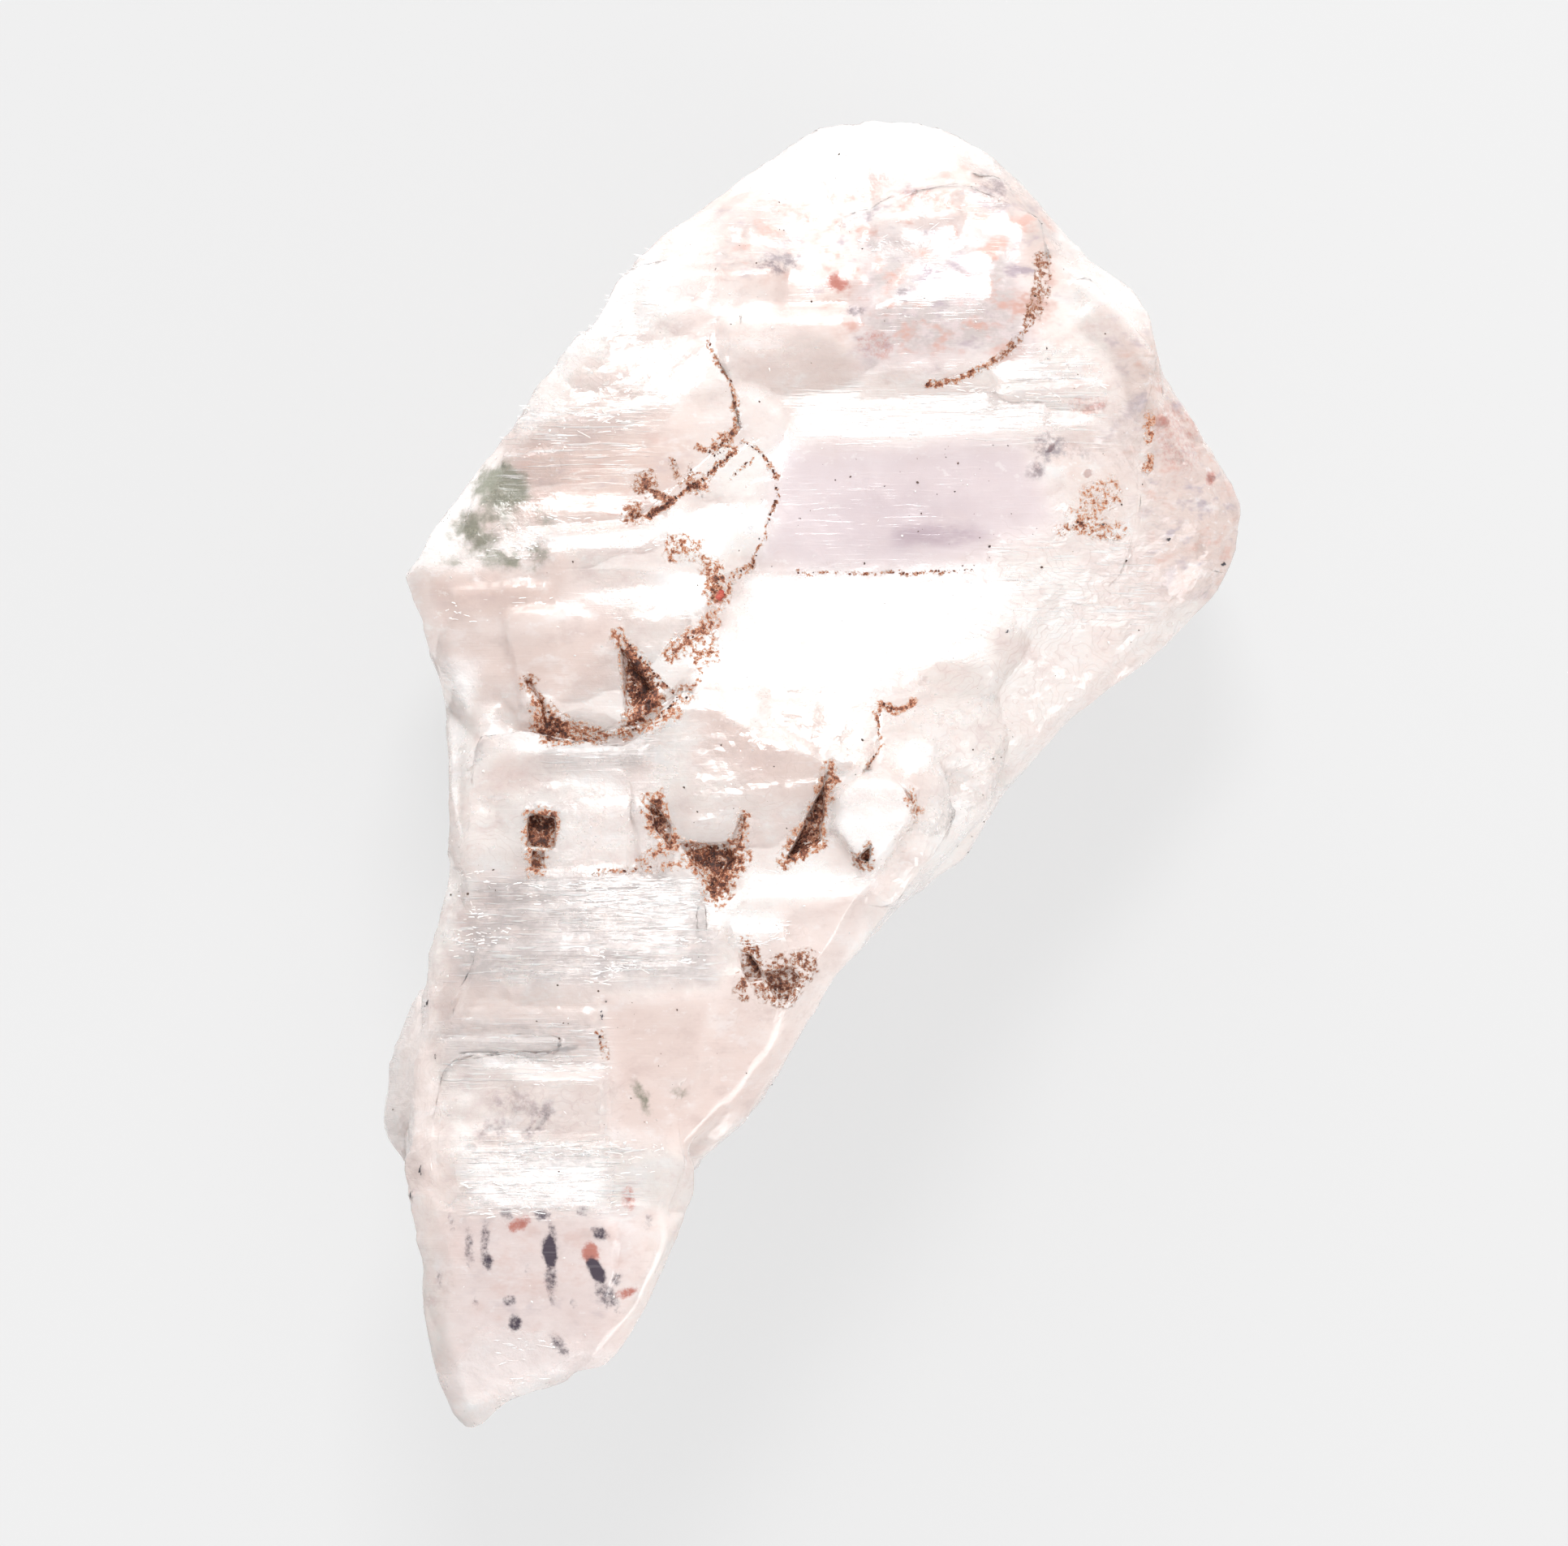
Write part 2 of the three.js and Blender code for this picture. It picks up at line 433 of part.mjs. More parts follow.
// Pits and grooves of the front face, most of them lined with iron stain.
function frontPits() {
  return [
    pit(13.3, 0.9, [[-7.9, 17.1], [-7.95, 16.1], [-7.1, 16.05], [-7.1, 17.0]], 0.05),
    pit(13.3, 0.5, [[-7.8, 16.1], [-7.8, 15.55], [-7.45, 15.5], [-7.4, 16.05]], 0.05),
    pit(12.2, 0.9, [[-5.45, 22.1], [-5.25, 19.6], [-4.2, 20.4]]),
    ...groove(12.3, 0.45, 0.25, [[-7.9, 20.75], [-7.5, 20.1], [-7.3, 18.9], [-6.4, 19.2], [-4.45, 19.7]]),
    pit(13.5, 0.6, [[-4.6, 17.6], [-4.4, 16.6], [-3.85, 15.9], [-3.8, 16.8]]),
    pit(13.5, 0.7, [[-3.9, 16.4], [-3.2, 15.5], [-2.8, 14.6], [-2.0, 15.8], [-2.2, 16.4]]),
    pit(13.5, 0.4, [[-2.3, 16.3], [-2.1, 15.9], [-1.8, 16.9], [-1.95, 17.2]]),
    pit(13.4, 0.8, [[0.55, 18.6], [-0.3, 16.4], [-0.85, 15.6], [0.35, 16.2]]),
    pit(14.1, 0.7, [[1.15, 15.8], [1.65, 15.6], [1.7, 16.3]]),
    ...groove(14.1, 0.3, 0.12, [[2.4, 18.0], [2.85, 17.3]]),
    pit(14.1, 0.6, [[-2.3, 13.5], [-1.8, 12.3], [-1.2, 12.4], [-1.7, 13.3]]),
    pit(14.1, 0.5, [[-1.5, 12.7], [-0.8, 11.5], [-0.2, 12.5], [-0.6, 12.9]]),
    ...groove(13.5, 0.25, 0.12, [[2.85, 20.25], [2.4, 19.9], [1.9, 20.1], [1.85, 19.0], [1.5, 18.2]]),
    ...groove(10.9, 0.6, 0.15, [[-2.85, 30.2], [-2.3, 29.1], [-2.05, 27.8], [-3.5, 26.5], [-4.9, 25.3]]),
    ...groove(10.4, 0.3, 0.1, [[-1.9, 27.4], [-1.05, 26.4], [-1.1, 25.8], [-1.4, 24.6], [-1.7, 24.0]]),
    ...groove(9.8, 0.3, 0.15, [[6.5, 32.6], [6.5, 31.3], [5.8, 30.3], [5.0, 29.6], [3.3, 29.1]]),
  ];
}

// The silhouette as a straight-sided solid, which trims everything to the crystal's outline.
function trim() {
  const shape = new THREE.Shape(SILHOUETTE.map(([x, y]) => new THREE.Vector2(x, y)));
  const geometry = new THREE.ExtrudeGeometry(shape, { depth: THICKNESS, bevelEnabled: false });
  geometry.translate(0, 0, REST - 1);
  return solidOf(geometry);
}

// The joined solid as one mesh, moved so that its origin is the middle of its box at the rest plane.
function crystalMesh(joined) {
  const box = joined.boundingBox();
  const placed = joined.translate([
    -(box.min[0] + box.max[0]) / 2,
    -(box.min[1] + box.max[1]) / 2,
    -box.min[2],
  ]);
  const { vertProperties, triVerts, numProp, numVert } = placed.getMesh();
  const positions = new Float32Array(numVert * 3);
  for (let i = 0; i < numVert; i++)
    positions.set(vertProperties.subarray(i * numProp, i * numProp + 3), i * 3);
  const geometry = new THREE.BufferGeometry();
  geometry.setAttribute("position", new THREE.BufferAttribute(positions, 3));
  geometry.setIndex(new THREE.BufferAttribute(new Uint32Array(triVerts), 1));
  const faceted = geometry.toNonIndexed();
  faceted.computeVertexNormals();
  const quartz = new THREE.MeshStandardMaterial({ color: 0xf0e4e2, roughness: 0.25, metalness: 0 });
  const mesh = new THREE.Mesh(faceted, quartz);
  mesh.name = "quartz_crystal";
  return mesh;
}

// The outer skin alone, without slivers: small hollows enclosed between the growth blocks are grown shut.
function healed(joined) {
  const skin = joined.decompose().reduce((best, part) => (part.volume() > best.volume() ? part : best));
  return skin.simplify(SLIVER);
}

const bodies = bodyPlanes();
const grown = wasm.Manifold.union([...bodies.map(convexOf), ...growthBands(bodies), ...frontPlates()]);
const solid = healed(grown.intersect(trim()).subtract(wasm.Manifold.union(frontPits())));

const crystal = new THREE.Group();
crystal.add(crystalMesh(solid));

export default crystal;
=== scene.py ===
"""A harlequin quartz crystal lying on its back, seen from above, as in the photograph.

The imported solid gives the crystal's shape. Its mesh is refined here, worked over with growth striations,
waves, worn edges and etched patches, and given a translucent quartz material. Iron stain, hematite flecks
and inner veils are small meshes that ride with it.
"""

import math

import bmesh
import bpy
import numpy as np
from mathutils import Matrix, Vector
from mathutils.bvhtree import BVHTree


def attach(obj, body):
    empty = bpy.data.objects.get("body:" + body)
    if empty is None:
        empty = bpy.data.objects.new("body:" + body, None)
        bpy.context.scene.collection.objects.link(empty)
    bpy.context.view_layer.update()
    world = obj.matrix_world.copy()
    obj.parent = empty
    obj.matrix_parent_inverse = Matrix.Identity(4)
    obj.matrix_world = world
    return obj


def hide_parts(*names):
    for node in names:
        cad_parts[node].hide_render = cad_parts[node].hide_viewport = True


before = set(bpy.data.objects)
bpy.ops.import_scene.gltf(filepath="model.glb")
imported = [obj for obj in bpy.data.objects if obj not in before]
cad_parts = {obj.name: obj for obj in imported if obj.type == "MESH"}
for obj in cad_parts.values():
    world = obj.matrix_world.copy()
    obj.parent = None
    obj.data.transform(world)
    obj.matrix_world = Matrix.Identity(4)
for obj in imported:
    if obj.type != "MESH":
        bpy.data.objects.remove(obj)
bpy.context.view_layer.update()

MM = 0.001
# Places below are in millimetres as seen from the front: x from the line through the middle of the upper
# end, y up from the lowest point of the tip. ORIGIN is the middle of the crystal's box in those terms.
ORIGIN = (0.05, 18.3)
# The photograph's width in pixels, its pixels to a millimetre, and the pixel where the places start.
PHOTO_WIDTH = 1932
PIXELS = 44.0
START_COLUMN = 1000
START_ROW = 1754
FOCUS_HEIGHT = 9.5
PHOTO_MIDDLE = (-0.77, 18.2)
CAMERA_DISTANCE = 500.0
SENSOR = 36.0
CLIP_START = 0.01

# Faces of the solid that turn less than this are taken as one.
FLAT = math.radians(0.4)
WELD = 2e-7  # corners of the solid closer than this are one, in metres
TINY = 1e-12  # the least length divided by
# The longest edges of the fine mesh on faces that look up, up a little, aside and down.
FRONT_EDGE = 0.235
SLOPE_EDGE = 0.33
SIDE_EDGE = 0.45
BACK_EDGE = 0.6


def to_row(x, y, z=0.0):
    """A place in the drawing's millimetres as a point of the row frame, in metres."""
    return Vector(((x - ORIGIN[0]) * MM, (y - ORIGIN[1]) * MM, z * MM))


def lattice(seed, *cells):
    """A repeatable number from 0 to 1 for each lattice cell."""
    mixed = np.full(cells[0].shape, seed * 374761393, dtype=np.uint64)
    for prime, cell in zip((668265263, 2246822519, 3266489917), cells):
        mixed = mixed + cell.astype(np.int64).astype(np.uint64) * np.uint64(prime)
    mixed = (mixed ^ (mixed >> np.uint64(13))) * np.uint64(1274126177)
    mixed = mixed & np.uint64(0xFFFFFFFF)
    mixed = (mixed ^ (mixed >> np.uint64(16))) * np.uint64(2246822519)
    mixed = mixed & np.uint64(0xFFFFFFFF)
    return ((mixed ^ (mixed >> np.uint64(15))) & np.uint64(0xFFFFFF)).astype(float) / 0xFFFFFF


def noise(points, scale, seed=0):
    """Smooth noise from -1 to 1 at points in millimetres; scale is the size of its lumps."""
    p = points / np.asarray(scale, dtype=float)
    base = np.floor(p)
    f = p - base
    f = f * f * (3 - 2 * f)
    total = np.zeros(len(p))
    for step in np.ndindex(2, 2, 2):
        near = [f[:, i] if step[i] else 1 - f[:, i] for i in range(3)]
        total += near[0] * near[1] * near[2] * lattice(seed, *(base[:, i] + step[i] for i in range(3)))
    return total * 2 - 1


def layered(points, scale, seed=0, octaves=4):
    """Noise with finer and weaker layers on it."""
    scale = np.asarray(scale, dtype=float)
    total = np.zeros(len(points))
    reach = 0.0
    for i in range(octaves):
        total += noise(points, scale / 2**i, seed + i) / 2**i
        reach += 1 / 2**i
    return total / reach


def ramp(value, low, high):
    """0 below low, 1 above high, smooth between."""
    t = np.clip((value - low) / (high - low), 0, 1)
    return t * t * (3 - 2 * t)


def line_distance(flat, line, closed=False):
    """How far points of the plane are from a bent line, in millimetres."""
    ends = line[1:] + (line[:1] if closed else [])
    best = np.full(len(flat), np.inf)
    for (ax, ay), (bx, by) in zip(line, ends):
        start = np.array([ax, ay])
        run = np.array([bx, by]) - start
        share = np.clip((flat - start) @ run / max(run @ run, TINY), 0, 1)
        best = np.minimum(best, np.linalg.norm(flat - start - share[:, None] * run, axis=1))
    return best


def depth_inside(flat, outline):
    """Distance to an outline, positive inside it."""
    x, y = flat[:, 0], flat[:, 1]
    inside = np.zeros(len(flat), dtype=bool)
    for (ax, ay), (bx, by) in zip(outline, outline[1:] + outline[:1]):
        if ay == by:
            continue
        crosses = (ay > y) != (by > y)
        inside ^= crosses & (x < (bx - ax) * (y - ay) / (by - ay) + ax)
    return np.where(inside, 1, -1) * line_distance(flat, outline, closed=True)


def cad_triangles(name):
    """A CAD node's triangles with shared corners, in millimetres of the drawing."""
    work = bmesh.new()
    work.from_mesh(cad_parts[name].data)
    bmesh.ops.remove_doubles(work, verts=work.verts, dist=WELD)
    bmesh.ops.dissolve_limit(work, angle_limit=FLAT, verts=work.verts, edges=work.edges)
    bmesh.ops.triangulate(work, faces=work.faces, quad_method="BEAUTY", ngon_method="BEAUTY")
    work.verts.ensure_lookup_table()
    points = np.array([v.co for v in work.verts]) / MM + np.array([*ORIGIN, 0])
    faces = np.array([[v.index for v in f.verts] for f in work.faces])
    work.free()
    return points, faces


def cross_normals(points, faces):
    """Every face's normal, as long as twice its area."""
    a, b, c = (points[faces[:, i]] for i in range(3))
    return np.cross(b - a, c - a)


def unit_rows(vectors):
    return vectors / np.maximum(np.linalg.norm(vectors, axis=1), TINY)[:, None]


def point_normals(points, faces):
    """The area-weighted normal at every point."""
    weighted = cross_normals(points, faces)
    total = np.zeros_like(points)
    for i in range(3):
        np.add.at(total, faces[:, i], weighted)
    return unit_rows(total)


def shared_edges(faces, count):
    """The unique edges of a triangle mesh of `count` points, and which edge each corner starts."""
    corners = np.sort(faces[:, [0, 1, 1, 2, 2, 0]].reshape(-1, 2), axis=1)
    keys, inverse = np.unique(corners[:, 0] * count + corners[:, 1], return_inverse=True)
    return np.stack([keys // count, keys % count], 1), inverse.reshape(-1)


def refine(points, faces, limit, rounds=60):
    """Splits the longest edge of every face at its middle, until all edges are within their faces' limit."""
    origin = np.arange(len(faces))
    for _ in range(rounds):
        edges, inverse = shared_edges(faces, len(points))
        length = np.linalg.norm(points[edges[:, 0]] - points[edges[:, 1]], axis=1)
        around = length[inverse].reshape(-1, 3)
        longest = np.argmax(around, axis=1)
        long_faces = around[np.arange(len(faces)), longest] > limit(points[faces].mean(axis=1), origin)
        if not long_faces.any():
            break
        split = np.zeros(len(edges), dtype=bool)
        split[inverse.reshape(-1, 3)[long_faces, longest[long_faces]]] = True
        place = np.full(len(edges), -1)
        place[split] = len(points) + np.arange(split.sum())
        points = np.concatenate([points, (points[edges[split, 0]] + points[edges[split, 1]]) / 2])
        middle = place[inverse].reshape(-1, 3)
        cut = middle >= 0
        count = cut.sum(axis=1)
        turns = [np.argmax(cut, axis=1), (np.argmin(cut, axis=1) + 1) % 3]
        turn = np.select([count == 1, count == 2], turns)
        pick = (np.arange(3)[None, :] + turn[:, None]) % 3
        # A face as its corners 0 to 2 and the middles 3 to 5 of its edges, turned so that 3 is cut.
        six = np.concatenate([np.take_along_axis(a, pick, axis=1) for a in (faces, middle)], axis=1)
        one, two, three = (six[count == i] for i in (1, 2, 3))
        straight = np.linalg.norm(points[two[:, 3]] - points[two[:, 2]], axis=1)
        crossed = np.linalg.norm(points[two[:, 0]] - points[two[:, 4]], axis=1)
        first = (straight < crossed)[:, None]
        made = [
            faces[count == 0], one[:, [0, 3, 2]], one[:, [3, 1, 2]], two[:, [3, 1, 4]],
            np.where(first, two[:, [0, 3, 2]], two[:, [0, 3, 4]]),
            np.where(first, two[:, [3, 4, 2]], two[:, [0, 4, 2]]),
        ]
        made += [three[:, corners] for corners in ([0, 3, 5], [3, 1, 4], [5, 4, 2], [3, 4, 5])]
        faces = np.concatenate(made)
        origin = np.concatenate([origin[count == i] for i in (0, 1, 1, 2, 2, 2, 3, 3, 3, 3)])
    return points, faces, origin


def without_doubles(faces):
    """The faces without any that has the same three corners as an earlier one."""
    _, first = np.unique(np.sort(faces, axis=1), axis=0, return_index=True)
    return faces[np.sort(first)]


def relax(points, edges, weight, rounds):
    """Moves every point towards the mean of its neighbours by its own weight, a number of times."""
    a, b = edges.T
    size = len(points)
    count = np.bincount(edges.ravel(), minlength=size).astype(float)
    for _ in range(rounds):
        total = np.stack([
            np.bincount(a, points[b, i], size) + np.bincount(b, points[a, i], size) for i in range(3)
        ], 1)
        points = points + weight[:, None] * (total / count[:, None] - points)
    return points


def mesh_object(name, points, faces, material):
    """A mesh object in the row frame from points in the drawing's millimetres."""
    mesh = bpy.data.meshes.new(name)
    mesh.vertices.add(len(points))
    placed = (points - np.array([*ORIGIN, 0])) * MM
    mesh.vertices.foreach_set("co", placed.astype(np.float32).ravel())
    mesh.loops.add(faces.size)
    mesh.loops.foreach_set("vertex_index", faces.astype(np.int32).ravel())
    mesh.polygons.add(len(faces))
    mesh.polygons.foreach_set("loop_start", np.arange(0, faces.size, faces.shape[1], dtype=np.int32))
    mesh.update(calc_edges=True)
    mesh.validate()
    mesh.materials.append(material)
    piece = bpy.data.objects.new(name, mesh)
    bpy.context.scene.collection.objects.link(piece)
    return piece


def point_attribute(mesh, name, values):
    attribute = mesh.attributes.new(name, "FLOAT", "POINT")
    attribute.data.foreach_set("value", values.astype(np.float32))


def make_camera():
    camera = bpy.data.objects.new("camera", bpy.data.cameras.new("camera"))
    bpy.context.scene.collection.objects.link(camera)
    camera.data.sensor_width = SENSOR
    camera.data.lens = SENSOR * CAMERA_DISTANCE / (PHOTO_WIDTH / PIXELS)
    camera.data.clip_start = CLIP_START
    camera.location = to_row(*PHOTO_MIDDLE, FOCUS_HEIGHT + CAMERA_DISTANCE)
    bpy.context.scene.camera = camera


make_camera()

WORLD_COLOUR = (0.985, 0.985, 1.0, 1)
WORLD_STRENGTH = 0.79
LIGHT_TARGET = Vector((0, 0, 0.008))
# Area lights: power, width, height and place, in watts and metres.
LIGHTS = {
    "key": (1.9, 0.5, 0.32, (-0.03, 0.5, 0.2)),
    "window": (1.6, 0.14, 0.1, (0.0, 0.33, 0.4)),
    "fill": (1.65, 0.4, 0.25, (0.38, -0.34, 0.16)),
}
FLOOR_COLOUR = (0.12, 0.12, 0.1195, 1)
FLOOR_ROUGHNESS = 0.8
FLOOR_GLOW = 0.66
FLOOR_HALF = 1500.0


def area_light(name, power, width, height, place):
    light = bpy.data.objects.new(name, bpy.data.lights.new(name, "AREA"))
    bpy.context.scene.collection.objects.link(light)
    light.data.energy = power
    light.data.shape = "RECTANGLE"
    light.data.size = width
    light.data.size_y = height
    light.location = place
    light.rotation_mode = "QUATERNION"
    light.rotation_quaternion = (LIGHT_TARGET - Vector(place)).to_track_quat("-Z", "Y")


def make_light():
    world = bpy.data.worlds.new("studio")
    bpy.context.scene.world = world
    world.use_nodes = True
    background = world.node_tree.nodes["Background"]
    background.inputs["Color"].default_value = WORLD_COLOUR
    background.inputs["Strength"].default_value = WORLD_STRENGTH
    for name, (power, width, height, place) in LIGHTS.items():
        area_light(name, power, width, height, place)
    bpy.context.scene.view_settings.view_transform = "Standard"


make_light()


def make_floor():
    material = bpy.data.materials.new("pale_floor")
    material.use_nodes = True
    bsdf = material.node_tree.nodes["Principled BSDF"]
    bsdf.inputs["Base Color"].default_value = FLOOR_COLOUR
    bsdf.inputs["Roughness"].default_value = FLOOR_ROUGHNESS
    bsdf.inputs["Emission Color"].default_value = (1, 1, 1, 1)
    bsdf.inputs["Emission Strength"].default_value = FLOOR_GLOW
    corners = FLOOR_HALF * np.array([[-1, -1, 0], [1, -1, 0], [1, 1, 0], [-1, 1, 0]])
    mesh_object("floor", corners, np.array([[0, 1, 2, 3]]), material)


make_floor()


class Nodes:
    """Short names for building one material's node tree."""

    def __init__(self, name):
        self.material = bpy.data.materials.new(name)
        self.material.use_nodes = True
        self.tree = self.material.node_tree
        self.bsdf = self.tree.nodes["Principled BSDF"]
        place = self.tree.nodes.new("ShaderNodeTexCoord").outputs["Object"]
        self.mm = self.vector("MULTIPLY", place, (1 / MM, 1 / MM, 1 / MM))

    def put(self, socket, value):
        if isinstance(value, bpy.types.NodeSocket):
            self.tree.links.new(value, socket)
        else:
            socket.default_value = value

    def vector(self, operation, a, b):
        node = self.tree.nodes.new("ShaderNodeVectorMath")
        node.operation = operation
        self.put(node.inputs[0], a)
        self.put(node.inputs[1], b)
        return node.outputs[0]

    def math(self, operation, a, b=0.0, clamp=False):
        node = self.tree.nodes.new("ShaderNodeMath")
        node.operation = operation
        node.use_clamp = clamp
        self.put(node.inputs[0], a)
        self.put(node.inputs[1], b)
        return node.outputs[0]

    def plus(self, a, b):
        return self.math("ADD", a, b)

    def times(self, *values):
        total = values[0]
        for value in values[1:]:
            total = self.math("MULTIPLY", total, value)
        return total

    def less(self, a, b):
        return self.math("SUBTRACT", a, b)

    def attribute(self, name):
        node = self.tree.nodes.new("ShaderNodeAttribute")
        node.attribute_name = name
        return node.outputs["Fac"]

    def noise(self, size, detail=3.0, stretch=(1, 1, 1), rough=0.5):
        """Noise from 0 to 1 with lumps of that size in millimetres, drawn out by stretch."""
        node = self.tree.nodes.new("ShaderNodeTexNoise")
        scale = tuple(1 / (size * s) for s in stretch)
        self.put(node.inputs["Vector"], self.vector("MULTIPLY", self.mm, scale))
        node.inputs["Scale"].default_value = 1.0
        node.inputs["Detail"].default_value = detail
        node.inputs["Roughness"].default_value = rough
        return node.outputs["Fac"]

    def cells(self, size):
        node = self.tree.nodes.new("ShaderNodeTexVoronoi")
        self.put(node.inputs["Vector"], self.vector("MULTIPLY", self.mm, (1 / size,) * 3))
        node.inputs["Scale"].default_value = 1.0
        return node

    def ramp(self, value, low, high):
        """0 below low and 1 above high."""
        node = self.tree.nodes.new("ShaderNodeMapRange")
        node.interpolation_type = "SMOOTHSTEP"
        self.put(node.inputs["Value"], value)
        self.put(node.inputs["From Min"], low)
        self.put(node.inputs["From Max"], high)
        return node.outputs["Result"]

    def colours(self, value, stops):
        node = self.tree.nodes.new("ShaderNodeValToRGB")
        ramp_stops = node.color_ramp.elements
        while len(ramp_stops) < len(stops):
            ramp_stops.new(0.5)
        for element, (place, colour) in zip(ramp_stops, stops):
            element.position = place
            element.color = (*colour, 1)
        self.put(node.inputs["Fac"], value)
        return node.outputs["Color"]

    def mix(self, share, a, b):
        node = self.tree.nodes.new("ShaderNodeMix")
        node.data_type = "RGBA"
        self.put(node.inputs["Factor"], share)
        for socket, colour in zip(node.inputs[6:8], (a, b)):
            self.put(socket, colour if isinstance(colour, bpy.types.NodeSocket) else (*colour, 1))
        return node.outputs[2]

    def bump(self, height, distance, normal=None):
        node = self.tree.nodes.new("ShaderNodeBump")
        node.inputs["Strength"].default_value = 1.0
        node.inputs["Distance"].default_value = distance * MM
        self.put(node.inputs["Height"], height)
        if normal is not None:
            self.put(node.inputs["Normal"], normal)
        return node.outputs["Normal"]

    def set(self, name, value):
        self.put(self.bsdf.inputs[name], value)


MILKY = (0.985, 0.90, 0.86)
ROSE = (0.93, 0.805, 0.76)
CLEAR = (0.93, 0.845, 0.81)
ASHEN = (0.67, 0.62, 0.605)
LILAC = (0.84, 0.76, 0.785)
QUIET = (0.64, 0.60, 0.585)
GRIT = (0.70, 0.67, 0.665)
# White of frosted and milky quartz, also the colour of painted highlights and glints.
CHALK_AND_HIGHLIGHT = (0.995, 0.985, 0.98)
DUSTY = (0.73, 0.605, 0.575)
ROSY = (0.81, 0.66, 0.60)
GREEN_GREY = (0.25, 0.26, 0.19)
RED_TINT = (0.66, 0.27, 0.215)
BLUSH_RED = (0.78, 0.50, 0.43)
BLUSH_GREY = (0.55, 0.47, 0.52)
VIOLET = (0.47, 0.37, 0.43)
DUSK = (0.38, 0.32, 0.34)
ROD = (0.075, 0.055, 0.08)
WHITE = (1.0, 1.0, 1.0)
QUARTZ_IOR = 1.544
# Iron stain from its thin edge to its thickest part.
IRON = [(0.12, (0.82, 0.69, 0.60)), (0.22, (0.56, 0.28, 0.155)), (0.33, (0.33, 0.10, 0.04)),
        (0.46, (0.155, 0.042, 0.019)), (0.60, (0.05, 0.015, 0.009))]
CONTOURS = 20


